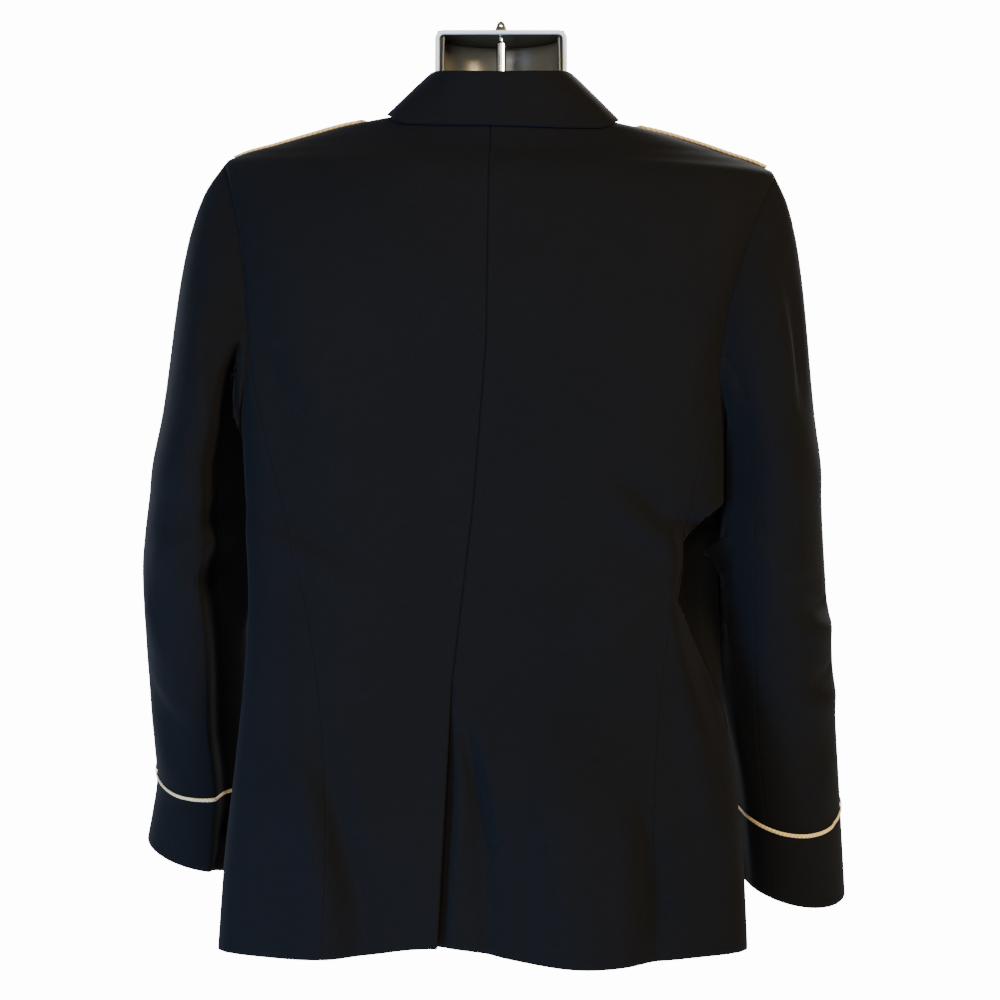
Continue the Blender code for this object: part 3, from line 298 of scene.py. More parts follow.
# How finely the cloth is made
PANEL_ROWS = 140
BACK_STEPS = 62
NEAR_STEPS = 16
VENT_NEAR = 0.018
FRONT_STEPS = 64
SHOULDER_STEPS = 26
SLEEVE_FINE = 6
SLEEVE_STEPS = 170
SLEEVE_TOP_STEPS = 14
SLEEVE_TURN = np.arange(0, ARM_STEPS, 1 / SLEEVE_FINE)
LAPEL_ROWS = 70
LAPEL_STEPS = 30
LAPEL_ROLL_STEPS = 8
COLLAR_STEPS = 121
COLLAR_POINTS = 46
LOOP_ROWS = 44
LOOP_STEPS = 25
FORM_STEPS = 121
FORM_LEVELS = 220
RIM_CORNER_STEPS = 9
RIM_SIDE_STEPS = 12
RIM_TOP_STEPS = 21
BRAID_STEPS = 7
BRAID_JOINT = 0.0016
JOINT_STEP = (2.6, 2.9)
TUCK_RADIUS = 0.0007
SEAM_GAP = 0.0003
TUCK_DEEP = 0.0030
EDGE_ROUND = 0.35
HEAD_DEEP = (0.0080, 0.0050, 0.0020)
FOLD_DEEP = 0.0003

# The vent: how far its top layer stands off and how far the lower one falls back at the hem
SEAM_ALLOWANCE = 0.012
VENT_PROUD = 0.0040
VENT_PROUD_WIDE = 0.040
VENT_UNDER = 0.0035
VENT_UNDER_WIDE = 0.016
VENT_LAP_FADE = 0.030
VENT_OPENS = (0.004, 0.10)
SEAM_DIP = 0.0012
ROLL_OUT = 0.0022

# How the under sleeves fall back from the sleeves' back edges: how far forward, the steps round
# the sleeve where the fall starts, is full, starts to end and ends, the heights of its top and
# of its full depth, and the heights where it eases towards the cuff
UNDER_FALL = {
    "left": (0.052, (7.15, 7.40, 11.5, 16.0), (-0.270, -0.300), (-0.755, -0.800)),
    "right": (0.045, (9.6, 10.3, 12.0, 16.0), (-0.490, -0.540), (-0.770, -0.813)),
}
UNDER_FALL_AT_CUFF = 0.25
UNDER_FALL_HANG = (0.003, 0.032)

# Where the sleeve touches the body: steps round the sleeve and heights, and the room left
TOUCH_STEPS = (9.0, 11.0, 14.0, 17.0)
TOUCH_Z = (-0.330, -0.358, -0.600, -0.720)
TOUCH_ROOM = 0.0012
TOUCH_REACH = (0.020, 0.038)
TOUCH_POINTS = 241

# The sharp edge of the hollow behind the right side of the waist: by height, its x and its depth
HOLLOW_EDGE_Z = (-0.700, -0.680, -0.608, -0.536, -0.486, -0.462, -0.445)
HOLLOW_EDGE_X = (-0.218, -0.211, -0.190, -0.160, -0.165, -0.185, -0.204)
HOLLOW_EDGE_DEEP = (0.0, 0.004, 0.015, 0.030, 0.030, 0.016, 0.0)
HOLLOW_EDGE_WIDE = 0.013

# Creases: x and height of the start, of the bend's pull and of the end, half width, height out
CREASE_POINTS = 25
CREASE_UNEVEN = 1.7
CREASE_GAIN = 2.0
CREASE_END = 0.04
CREASE_FADE = 0.7
CREASE_SIDE_Y = 0.04
BACK_CREASES = (
    (0.092, -0.1235, 0.000, -0.1265, -0.080, -0.1255, 0.0090, -0.0020),
    (0.100, -0.1480, 0.010, -0.1530, -0.075, -0.1500, 0.0140, 0.0012),
    (0.060, -0.2050, 0.005, -0.2120, -0.060, -0.2030, 0.0120, -0.0008),
    (0.240, -0.2300, 0.205, -0.3000, 0.195, -0.4100, 0.0140, -0.0022),
    (0.225, -0.2700, 0.190, -0.3300, 0.150, -0.3700, 0.0160, 0.0016),
    (-0.226, -0.2250, -0.200, -0.2900, -0.190, -0.3900, 0.0130, -0.0022),
    (-0.205, -0.2600, -0.170, -0.3200, -0.130, -0.3500, 0.0160, 0.0014),
    (-0.100, -0.4180, -0.140, -0.4480, -0.168, -0.4900, 0.0090, -0.0026),
    (-0.090, -0.4450, -0.130, -0.4700, -0.165, -0.5050, 0.0100, 0.0024),
    (-0.110, -0.5850, -0.145, -0.5550, -0.162, -0.5330, 0.0100, -0.0022),
    (-0.080, -0.5700, -0.125, -0.5480, -0.160, -0.5220, 0.0110, 0.0016),
    (0.232, -0.4550, 0.190, -0.4700, 0.130, -0.5050, 0.0100, -0.0018),
    (0.230, -0.4750, 0.185, -0.4930, 0.120, -0.5300, 0.0120, 0.0018),
    (0.034, -0.6480, 0.021, -0.7000, 0.011, -0.7620, 0.0060, -0.0026),
    (0.026, -0.6400, 0.008, -0.6900, -0.002, -0.7600, 0.0090, 0.0018),
    (0.168, -0.6600, 0.140, -0.7400, 0.120, -0.8300, 0.0130, -0.0032),
    (0.190, -0.6700, 0.168, -0.7500, 0.150, -0.8400, 0.0170, 0.0026),
    (-0.128, -0.7200, -0.136, -0.7800, -0.140, -0.8450, 0.0110, -0.0034),
    (-0.105, -0.7100, -0.112, -0.7800, -0.114, -0.8500, 0.0150, 0.0020),
    (-0.165, -0.6200, -0.178, -0.6900, -0.190, -0.7700, 0.0120, 0.0022),
    (0.085, -0.6900, 0.083, -0.7700, 0.078, -0.8450, 0.0170, 0.0016),
    (-0.040, -0.7000, -0.052, -0.7700, -0.060, -0.8500, 0.0180, 0.0018),
)
FRONT_CREASES = (
    (0.150, -0.2600, 0.170, -0.3200, 0.178, -0.3900, 0.0140, -0.0020),
    (-0.140, -0.2550, -0.160, -0.3200, -0.172, -0.4000, 0.0140, -0.0022),
    (0.020, -0.4700, 0.080, -0.4850, 0.150, -0.4600, 0.0100, -0.0020),
    (0.018, -0.4850, 0.080, -0.5050, 0.160, -0.4900, 0.0120, 0.0018),
    (-0.030, -0.4650, -0.090, -0.4800, -0.150, -0.4650, 0.0100, -0.0020),
    (-0.030, -0.5550, -0.090, -0.5750, -0.150, -0.5550, 0.0120, 0.0016),
    (0.110, -0.6500, 0.125, -0.7400, 0.140, -0.8400, 0.0160, 0.0026),
    (0.070, -0.6800, 0.080, -0.7600, 0.085, -0.8450, 0.0130, -0.0024),
    (-0.100, -0.6600, -0.120, -0.7400, -0.130, -0.8400, 0.0160, 0.0026),
    (-0.070, -0.6900, -0.080, -0.7700, -0.090, -0.8450, 0.0130, -0.0022),
)
# Creases of the sleeves: the same, with steps round the sleeve in place of x (0 outside, 6 behind)
SLEEVE_CREASES = {
    "left": (
        (7.5, -0.2300, 6.5, -0.2900, 5.0, -0.3400, 0.0120, -0.0020),
        (4.5, -0.2600, 5.0, -0.3300, 7.5, -0.3900, 0.0140, 0.0018),
        (9.5, -0.4500, 7.0, -0.4750, 4.0, -0.4700, 0.0110, -0.0028),
        (9.0, -0.4700, 6.5, -0.4950, 3.0, -0.5000, 0.0130, 0.0024),
        (9.0, -0.5100, 6.5, -0.5250, 3.5, -0.5400, 0.0110, -0.0020),
        (2.0, -0.5300, 3.5, -0.5800, 5.5, -0.6100, 0.0130, 0.0018),
        (1.5, -0.6100, 3.5, -0.6500, 6.5, -0.6700, 0.0120, -0.0018),
        (14.0, -0.4400, 17.0, -0.4700, 20.5, -0.4600, 0.0130, -0.0028),
        (14.0, -0.4700, 17.5, -0.5000, 21.5, -0.4900, 0.0140, 0.0026),
        (15.0, -0.5300, 18.0, -0.5500, 21.0, -0.5400, 0.0130, -0.0022),
        (2.5, -0.6700, 4.0, -0.7000, 5.0, -0.7300, 0.0140, 0.0014),
    ),
    "right": (
        (3.2, -0.2450, 2.8, -0.3000, 3.6, -0.3600, 0.0090, -0.0026),
        (4.4, -0.2350, 4.1, -0.3000, 4.8, -0.3700, 0.0120, 0.0020),
        (8.0, -0.2300, 7.2, -0.2900, 8.4, -0.3700, 0.0120, -0.0020),
        (1.0, -0.5350, 2.0, -0.5500, 4.0, -0.5400, 0.0080, -0.0026),
        (0.8, -0.5530, 2.5, -0.5720, 5.0, -0.5650, 0.0100, 0.0024),
        (1.0, -0.5980, 2.2, -0.6150, 4.2, -0.6080, 0.0080, -0.0024),
        (0.8, -0.6180, 2.6, -0.6400, 5.4, -0.6350, 0.0100, 0.0020),
        (8.5, -0.4700, 6.5, -0.4850, 4.5, -0.4700, 0.0110, -0.0020),
        (8.5, -0.5000, 6.0, -0.5150, 3.5, -0.5050, 0.0120, 0.0018),
        (14.0, -0.4700, 17.0, -0.4950, 20.5, -0.4850, 0.0130, -0.0028),
        (14.0, -0.5000, 17.5, -0.5250, 21.5, -0.5150, 0.0140, 0.0026),
        (15.0, -0.5700, 18.0, -0.5900, 21.0, -0.5800, 0.0130, -0.0022),
        (2.5, -0.6900, 3.8, -0.7200, 5.0, -0.7500, 0.0140, 0.0014),
    ),
}

# Finishes and studio
TWILL_PER_M = 760.0
TWILL_ANGLE = math.radians(58)
YARN_PER_M = 1292.0
CLOTH_DARK = (0.0008, 0.00076, 0.00072)
CLOTH_LIGHT = (0.0053, 0.0050, 0.0047)
THREADS_PER_M = (820.0, 110.0)
CLOTH_BUMP = 0.00016
CLOTH_ROUGH = (0.80, 0.98)
STRANDS_PER_M = 330.0
STRAND_ANGLE = math.radians(35)
BRAID_DARK = (0.36, 0.20, 0.04)
BRAID_LIGHT = (0.86, 0.62, 0.26)
BRAID_BUMP = 0.0003
HARD_BUMP = 0.00005
# Moulded and metal finishes: name, dark and light colour, scale of the cloud, metallic, roughness
HARD_FINISHES = {
    "form": ("black plastic", (0.010, 0.010, 0.009), (0.016, 0.016, 0.014), 14.0, 0.0, 0.24, 0.32),
    "plate": ("pale plastic", (0.62, 0.62, 0.58), (0.74, 0.74, 0.69), 60.0, 0.0, 0.35, 0.5),
    "chrome": ("chrome", (0.58, 0.58, 0.56), (0.68, 0.68, 0.66), 80.0, 1.0, 0.14, 0.24),
    "ferrule": ("bronze", (0.17, 0.14, 0.09), (0.30, 0.25, 0.17), 300.0, 1.0, 0.28, 0.45),
    "button": ("brass", (0.62, 0.43, 0.15), (0.85, 0.64, 0.28), 220.0, 1.0, 0.22, 0.38),
}
NODE_FINISH = {"neck_plate": "form", "stem": "chrome", "ferrule": "ferrule"}
# Colour of the form's inner face: painted light, much paler than the black plastic so the inside of the neck
# looks lit
FORM_INSIDE_PAINTED_LIGHT = (0.100, 0.097, 0.078)
CAMERA_AT = (0.001, 2.09, -0.4458)
CAMERA_LENS = 79.9992
CAMERA_SENSOR = 36.0
FLOOR_Z = -1.62
FLOOR_SIZE = 5.0
FLOOR_COLOUR = (0.9, 0.9, 0.9, 1)
WHITE = (1, 1, 1, 1)
WORLD_SEEN = 14.0
WORLD_STRENGTH = 0.35
# Lights: name, place, target, size, watts and colour
LIGHTS = (
    ("key", (0.55, 2.6, 0.12), (0, 0, -0.45), (0.7, 0.7), 58.0, (1.0, 0.97, 0.92)),
    ("warm", (-1.7, 1.6, 0.6), (-0.15, 0, -0.2), (0.6, 0.6), 80.0, (1.0, 0.76, 0.40)),
    ("cool", (1.5, 1.6, -1.1), (0.15, 0, -0.75), (0.6, 0.6), 100.0, (0.13, 0.40, 1.0)),
    ("front", (-1.0, -2.3, 1.0), (0, 0, -0.4), (1.2, 1.2), 150.0, (1.0, 0.98, 0.95)),
    ("fill", (1.8, -1.9, 0.2), (0, 0, -0.5), (1.0, 1.0), 30.0, (0.85, 0.92, 1.0)),
)


def smooth_step(low, high, value):
    """0 at low, 1 at high, eased between them."""
    t = np.clip((np.asarray(value, float) - low) / (high - low), 0, 1)
    return t * t * (3 - 2 * t)


def hermite(t, start, leave, end, arrive):
    """Cubic from start to end that leaves and arrives with the given slopes."""
    return (
        (2 * t**3 - 3 * t**2 + 1) * start
        + (t**3 - 2 * t**2 + t) * leave
        + (3 * t**2 - 2 * t**3) * end
        + (t**3 - t**2) * arrive
    )


def bend(t, first, pull, last):
    """Quadratic curve from first to last, drawn towards pull."""
    return (1 - t) ** 2 * first + 2 * t * (1 - t) * pull + t**2 * last


def run_length(points):
    """Length run so far along the first axis."""
    return np.cumsum(np.linalg.norm(np.diff(points, axis=0, prepend=points[:1]), axis=-1), axis=0)


def through(knots, values, at):
    """Monotone cubic through the knots, so that a section never overshoots its neighbours."""
    knots = np.asarray(knots, float)
    values = np.asarray(values, float)
    step = np.diff(knots)
    slope = np.diff(values) / step
    tangent = np.zeros_like(values)
    same = slope[:-1] * slope[1:] > 0
    first, second = slope[:-1][same], slope[1:][same]
    tangent[1:-1][same] = 2 * first * second / (first + second)
    tangent[0], tangent[-1] = slope[0], slope[-1]
    at = np.clip(np.asarray(at, float), knots[0], knots[-1])
    i = np.clip(np.searchsorted(knots, at) - 1, 0, len(step) - 1)
    h = step[i]
    return hermite((at - knots[i]) / h, values[i], h * tangent[i], values[i + 1], h * tangent[i + 1])


class Body:
    """The surface that the body cloth lies on, sampled once and then read by tape length."""

    levels = 400
    steps = 500

    def __init__(self):
        table = dict(zip(BODY_COLUMNS, np.array(BODY_ROWS).T))
        rise = np.diff(table["z"])
        reach = np.diff((table["left"] + table["right"]) / 2)
        length = np.concatenate([[0], np.cumsum(np.hypot(rise, reach))])
        self.v = np.linspace(0, 1, self.levels)
        row = {c: through(length / length[-1], table[c], self.v) for c in BODY_COLUMNS}
        self.z = row["z"]
        turn = np.linspace(0, math.pi, self.steps)
        sine, cosine = np.abs(np.sin(turn)), np.abs(np.cos(turn))
        behind = turn <= math.pi / 2
        self.points, self.tape, self.side_tape = {}, {}, {}
        for side in (LEFT, RIGHT):
            power = np.where(behind, 2 / row["square_back"][:, None], 2 / row["square_front"][:, None])
            x = SIGN[side] * row[side][:, None] * sine ** power
            end = np.where(behind, row["y_back"][:, None], row["y_front"][:, None])
            y = row["y_side"][:, None] + (end - row["y_side"][:, None]) * cosine ** power
            z = np.repeat(self.z[:, None], self.steps, 1)
            self.points[side] = np.stack([x, y, z], -1)
            hop = np.linalg.norm(np.diff(self.points[side], axis=1), axis=-1)
            self.tape[side] = np.concatenate([np.zeros((self.levels, 1)), np.cumsum(hop, 1)], 1)
            middle = self.steps // 2
            self.side_tape[side] = (self.tape[side][:, middle] + self.tape[side][:, middle - 1]) / 2

    def level(self, z):
        return np.interp(z, self.z, self.v)

    def side_line(self, side, v):
        """Tape length from the centre back to the side."""
        return np.interp(v, self.v, self.side_tape[side])

    def front_line(self, side, v):
        """Tape length from the centre back to the centre front."""
        return np.interp(v, self.v, self.tape[side][:, -1])

    def tape_at(self, side, v, x, front):
        """Tape length at which the section at v has this x, behind or in front."""
        place = float(v) * (self.levels - 1)
        row = min(int(place), self.levels - 2)
        middle = self.steps // 2
        found = []
        for at in (row, row + 1):
            tape = self.tape[side][at]
            along = SIGN[side] * self.points[side][at][:, 0]
            if front:
                found.append(np.interp(-SIGN[side] * x, -along[middle:], tape[middle:]))
            else:
                found.append(np.interp(SIGN[side] * x, along[:middle], tape[:middle]))
        return float(found[0] + (found[1] - found[0]) * (place - row))

    def read(self, side, v, tape):
        """Points on one side, for tape lengths from the centre back to the centre front."""
        place = np.clip(v, 0, 1) * (self.levels - 1)
        low = np.minimum(place.astype(int), self.levels - 2)
        part = (place - low)[..., None]
        found = []
        for row in (low, low + 1):
            total = self.tape[side][row, -1]
            share = np.clip(tape / self.front_line(side, np.clip(v, 0, 1)), 0, 1) * total
            flat_row, flat_share = row.ravel(), share.ravel()
            out = np.empty((flat_row.size, 3))
            for r in np.unique(flat_row):
                pick = flat_row == r
                for axis in range(3):
                    out[pick, axis] = np.interp(
                        flat_share[pick], self.tape[side][r], self.points[side][r][:, axis]
                    )
            found.append(out.reshape(row.shape + (3,)))
        return found[0] * (1 - part) + found[1] * part


BODY = Body()


def plain_torso(side, v, tape):
    """The surface before its folds; the tape runs on past the centre back and the centre front."""
    v, tape = np.broadcast_arrays(np.asarray(v, float), np.asarray(tape, float))
    other = RIGHT if side == LEFT else LEFT
    front = BODY.front_line(side, v)
    across = np.where(tape > front, BODY.front_line(other, v) - (tape - front), -tape)
    near = BODY.read(side, v, np.clip(tape, 0, front))
    far = BODY.read(other, v, np.clip(across, 0, None))
    outside = ((tape < 0) | (tape > front))[..., None]
    return np.where(outside, far, near)


def torso(side, v, tape):
    """The surface with the back's folds, the hollow at the waist and the uneven shoulders."""
    point = plain_torso(side, v, tape)
    x, z = point[..., 0], point[..., 2]
    behind = smooth_step(0.0, FOLD_BEHIND_Y, point[..., 1])
    for x_top, z_top, x_low, z_low, half_width, out in BACK_FOLDS:
        along = np.clip((z - z_top) / (z_low - z_top), 0, 1)
        middle = x_top + (x_low - x_top) * along
        fade = smooth_step(z_top + FOLD_FADE_ABOVE, z_top - FOLD_FADE, z)
        point[..., 1] += out * behind * fade * np.exp(-(((x - middle) / half_width) ** 2))
    down = smooth_step(HOLLOW_FOOT[0], HOLLOW_FOOT[1], z)
    near = HOLLOW_X[0] + (HOLLOW_FOOT_X[0] - HOLLOW_X[0]) * down
    far = HOLLOW_X[1] + (HOLLOW_FOOT_X[1] - HOLLOW_X[1]) * down
    share = np.clip((x - near) / (far - near), 0, 1)
    reach = share * share * (3 - 2 * share) * smooth_step(HOLLOW_TOP[0], HOLLOW_TOP[1], z) * (1 - down)
    point[..., 1] -= HOLLOW_DEPTH * reach * smooth_step(*HOLLOW_BEHIND_Y, point[..., 1])
    point[..., 2] += SHOULDER_TILT * x * smooth_step(TILT_END, TILT_TOP, z)
    return point


def normal_to(surface, first, second):
    """Unit normals of a surface of two parameters, by small steps either way."""
    step_first, step_second = NORMAL_STEP
    along_first = surface(first + step_first, second) - surface(first - step_first, second)
    along_second = surface(first, second + step_second) - surface(first, second - step_second)
    return unit(np.cross(along_second, along_first))


def torso_outward(side, v, tape):
    """Unit normals of the body surface, pointing out of the jacket."""
    v, tape = np.broadcast_arrays(np.asarray(v, float), np.asarray(tape, float))
    return -SIGN[side] * normal_to(lambda a, b: torso(side, a, b), np.minimum(v, NORMAL_TOP), tape)


def centre_seam(z):
    return np.interp(z, CENTRE_SEAM_Z, CENTRE_SEAM_X)


def armhole(side, step):
    """Level and tape of the armhole, step 0 at the shoulder, then down the back and up the front."""
    turn = 2 * math.pi * step / ARM_STEPS
    z = ARM_TOP + (ARM_LOW - ARM_TOP) * (1 - math.cos(turn)) / 2
    v = float(BODY.level(z))
    width = ARM_BACK if math.sin(turn) > 0 else ARM_FRONT
    return v, float(BODY.side_line(side, v)) - width * math.sin(turn)


def spread(first, last, count):
    """Rows between two boundaries, each an array of the same length."""
    share = np.linspace(0, 1, count)
    return first[:, None] * (1 - share) + last[:, None] * share


def hem_level(x):
    """Level of the hem behind: it lifts at the vent and drops on the right."""
    lift = HEM_VENT_LIFT * np.exp(-(((x - HEM_VENT_X) / HEM_VENT_WIDE) ** 2))
    drop = HEM_RIGHT_DROP * np.exp(-(((x - HEM_RIGHT_X) / HEM_RIGHT_WIDE) ** 2))
    return BODY.level(HEM + lift - drop)


def body_seam(side, v, step, front):
    """Tape lengths of a side seam, from the hem up to its joining point on the armhole."""
    join_v, join_tape = armhole(side, step)
    join_z = float(np.interp(join_v, BODY.v, BODY.z))
    z = np.interp(v, BODY.v, BODY.z)
    low_share = SIDE_FRONT_X if front else SIDE_BACK_X
    side_tape = BODY.side_line(side, v)
    tape = []
    for level, line in zip(v, side_tape):
        width = abs(float(BODY.read(side, np.array([level]), np.array([line]))[0, 0]))
        tape.append(BODY.tape_at(side, level, SIGN[side] * low_share * width, front))
    join_offset = join_tape - float(BODY.side_line(side, join_v))
    climb = smooth_step(HEM, join_z, z) ** SEAM_CLIMB
    return side_tape + (np.array(tape) - side_tape) * (1 - climb) + join_offset * climb


def front_edge(side, v):
    """Tape length of a front's edge: the closing below the break, the roll line above it."""
    z = np.interp(v, BODY.v, BODY.z)
    slope = (ROLL_TOP_X + CLOSE_LAP) / (ROLL_TOP_Z - BREAK_Z)
    out = []
    for level, height in zip(v, z):
        if height <= BREAK_Z:
            out.append(float(BODY.front_line(side, level)) + CLOSE_LAP)
            continue
        x = -CLOSE_LAP + slope * (height - BREAK_Z)
        if x < 0:
            out.append(float(BODY.front_line(side, level)) - x)
        else:
            out.append(BODY.tape_at(side, level, SIGN[side] * x, True))
    return np.array(out)


def closing_lift(side, v, tape):
    """The left front lies over the right one where they close."""
    if side == RIGHT:
        return np.zeros(np.shape(tape))
    inside = BODY.front_line(side, v) - tape
    return LAP_DEPTH * smooth_step(*CLOSE_LIFT, inside)


def sleeve_ring(side, row, turn, previous):
    """Points of one sleeve section square to the sleeve's run; turn 0 is the outer side."""
    z, x_outer, half_width, y, half_depth = row
    centre = np.array([SIGN[side] * (x_outer - half_width), y, z])
    run = unit(centre - previous)
    fore = np.array([0.0, 1.0, 0.0])
    fore = unit(fore - run * fore.dot(run))
    across = np.array([SIGN[side], 0.0, 0.0])
    across = unit(across - run * across.dot(run))
    return centre + np.cos(turn)[:, None] * across * half_width + np.sin(turn)[:, None] * fore * half_depth


def sleeve_rings(side):
    """All rings of a sleeve, from the armhole to the cuff, ARM_STEPS points each."""
    steps = np.arange(ARM_STEPS)
    turn = 2 * math.pi * steps / ARM_STEPS
    start = np.array([armhole(side, step) for step in steps])
    seam = torso(side, start[:, 0], start[:, 1]) + torso_outward(side, start[:, 0], start[:, 1]) * CLOTH / 2
    table = np.array(SLEEVE_ROWS[side])
    length = np.concatenate([[0], np.cumsum(np.abs(np.diff(table[:, 0])))])
    at = np.linspace(0, length[-1], SLEEVE_ROWS_BELOW)
    rows = np.stack([through(length, table[:, c], at) for c in range(table.shape[1])], 1)
    middle = np.stack([SIGN[side] * (rows[:, 1] - rows[:, 2]), rows[:, 3], rows[:, 0]], 1)
    before = middle[0] * 2 - middle[1]
    rings = []
    for row, centre in zip(rows, middle):
        rings.append(sleeve_ring(side, row, turn, before))
        before = centre
    growth = np.linspace(0, 1, len(rings)) ** CUFF_FADE
    for ring, centre, share in zip(rings, middle, growth):
        ring[:, 2] += share * CUFF_TILT[side] * SIGN[side] * (ring[:, 0] - centre[0])
        ring[:, 2] -= share * CUFF_DIP[side] * (ring[:, 1] - centre[1])
    outer = (1 + np.cos(turn)) / 2
    leave = np.stack([
        SIGN[side] * (HEAD_OUT_LOW + (HEAD_OUT_TOP[side] - HEAD_OUT_LOW) * outer),
        HEAD_SPREAD * np.sin(turn),
        -HEAD_DROP_LOW - (HEAD_DROP_TOP - HEAD_DROP_LOW) * outer,
    ], 1)
    arrive = np.stack([
        SIGN[side] * HEAD_FLARE[side] * outer,
        np.zeros(ARM_STEPS),
        -HEAD_RUN_LOW - (HEAD_RUN_TOP - HEAD_RUN_LOW) * outer,
    ], 1)
    seam = seam + unit(leave) * SEAM_CORNER
    shares = np.linspace(0, 1, SLEEVE_HEAD_ROWS)[:-1]
    return np.array([hermite(t, seam, leave, rings[0], arrive) for t in shares] + rings)


def neckline(side, part):
    """Level and tape of the collar's seam: round the neck, then down the roll line to the gorge."""
    if part <= NECK_SHARE:
        neck_front = BODY.tape_at(side, 1.0, SIGN[side] * NECK_FRONT_X, True)
        return 1.0, neck_front * part / NECK_SHARE
    down = (part - NECK_SHARE) / (1 - NECK_SHARE)
    v = float(BODY.level(BODY.z[-1] + (ROLL_TOP_Z - BODY.z[-1]) * down))
    return v, float(front_edge(side, np.array([v]))[0])


def collar_edge(side, part):
    """Level and tape of the collar's outer edge, which lies on the body."""
    table = dict(zip(EDGE_COLUMNS, np.array(EDGE_ROWS).T))
    rise = COLLAR_EDGE_RISE[side] * math.sin(math.pi * part)
    v = float(BODY.level(through(table["u"], table["z"], part) + rise))
    turn = float(through(table["u"], table["turn"], part))
    side_tape = float(BODY.side_line(side, v))
    front_tape = float(BODY.front_line(side, v))
    if turn <= 1:
        return v, side_tape * turn
    return v, side_tape + (front_tape - side_tape) * (turn - 1)


def on_torso(side, v, tape, lift):
    """One point on the body surface, moved out by lift."""
    v, tape = np.array([v]), np.array([tape])
    return torso(side, v, tape)[0] + torso_outward(side, v, tape)[0] * lift


def unit(vector):
    """Unit vectors along the last axis."""
    return vector / np.maximum(np.linalg.norm(vector, axis=-1, keepdims=True), TINY)


def collar_section(u):
    """Seam, roll and edge of the collar at u, from -1 to 1; the wearer's left is positive."""
    side = LEFT if u >= 0 else RIGHT
    part = abs(u)
    table = dict(zip(ROLL_COLUMNS, np.array(ROLL_ROWS).T))
    roll = np.array([float(through(table["u"], table[c], part)) for c in ("x", "y", "z")])
    roll[0] *= SIGN[side]
    seam = on_torso(side, *neckline(side, part), COLLAR_LIFT)
    edge = on_torso(side, *collar_edge(side, part), COLLAR_LIFT)
    return seam, roll, edge


def loop_half(share):
    """Half width of a shoulder loop, share 0 at its pointed neck end and 1 at the sleeve."""
    point = np.sqrt(np.clip(share / LOOP_POINT, LOOP_BLUNT, 1))
    return (LOOP_HALF_NECK + (LOOP_HALF_TIP - LOOP_HALF_NECK) * share) * point


def loop_level(share):
    low = BODY.level(LOOP_TIP_Z)
    return BODY.level(LOOP_NECK_Z) + (low - BODY.level(LOOP_NECK_Z)) * share


def form_point(z, turn, table):
    """Points of the form; turn is 0 at the centre front and grows to the wearer's left."""
    half, y_side, y_front, square = (
        through(table["z"], table[c], z) for c in ("half", "y_side", "y_front", "square")
    )
    sine, cosine = np.sin(turn), np.cos(turn)
    x = half * np.sign(sine) * np.abs(sine) ** (2 / square)
    depth = np.where(cosine >= 0, y_front - y_side, FORM_BACK_DEPTH)
    y = y_side + depth * np.abs(cosine) ** (2 / square)
    point = np.stack([x, y, z + 0 * x], -1)
    lean = smooth_step(TILT_END, TILT_TOP, z) * smooth_step(FORM_TILT_TOP, FORM_TILT_LOW, z)
    point[..., 2] += SHOULDER_TILT * x * lean
    return point


def seam_rows(side, step, count):
    """Levels from the hem to where a body seam meets the armhole."""
    v, _ = armhole(side, step)
    top_z = float(np.interp(v, BODY.v, BODY.z))
    return BODY.level(np.linspace(HEM, top_z, count))


def crease_field(x, z, table):
    """Height of the creases at x and z: each is a soft uneven ridge or trough along a bent line."""
    total = np.zeros(x.shape)
    t = np.linspace(0, 1, CREASE_POINTS)
    for xa, za, xb, zb, xc, zc, wide, high in table:
        line_x, line_z = bend(t, xa, xb, xc), bend(t, za, zb, zc)
        dx = x[..., None] - line_x
        dz = z[..., None] - line_z
        near = np.argmin(dx**2 + dz**2, -1)
        dx = np.take_along_axis(dx, near[..., None], -1)[..., 0]
        dz = np.take_along_axis(dz, near[..., None], -1)[..., 0]
        run_x, run_z = np.gradient(line_x)[near], np.gradient(line_z)[near]
        side_of = (run_x * dz - run_z * dx) / np.hypot(run_x, run_z)
        past = np.sqrt(np.maximum(dx**2 + dz**2 - side_of**2, 0))
        width = wide * np.where(side_of > 0, 1.0, CREASE_UNEVEN)
        along = t[near] * (1 - 2 * CREASE_END) + CREASE_END
        fade = np.sin(math.pi * np.clip(along, 0, 1)) ** CREASE_FADE
        total += CREASE_GAIN * high * fade * np.exp(-((side_of / width) ** 2) - (past / wide) ** 2)
    return total


def body_creases(point):
    """How far out the creases and the hollow's sharp edge move the body cloth."""
    behind = smooth_step(0.0, CREASE_SIDE_Y, point[..., 1])
    before = smooth_step(0.0, -CREASE_SIDE_Y, point[..., 1])
    x, z = point[..., 0], point[..., 2]
    edge = np.interp(z, HOLLOW_EDGE_Z, HOLLOW_EDGE_X)
    hollow = np.interp(z, HOLLOW_EDGE_Z, HOLLOW_EDGE_DEEP) * smooth_step(0.0, HOLLOW_EDGE_WIDE, edge - x)
    return (crease_field(x, z, BACK_CREASES) - hollow) * behind + crease_field(x, z, FRONT_CREASES) * before


def body_mid(side, v, tape, lift=0.0):
    """The middle of the body cloth, with its creases."""
    point = torso(side, v, tape)
    out = torso_outward(side, v, tape)
    lift = np.broadcast_to(lift, v.shape)
    return point + out * (lift + CLOTH / 2 + body_creases(point))[..., None], out


def grid_normals(mid):
    """Unit normals of a grid of points."""
    return unit(np.cross(np.gradient(mid, axis=1), np.gradient(mid, axis=0)))


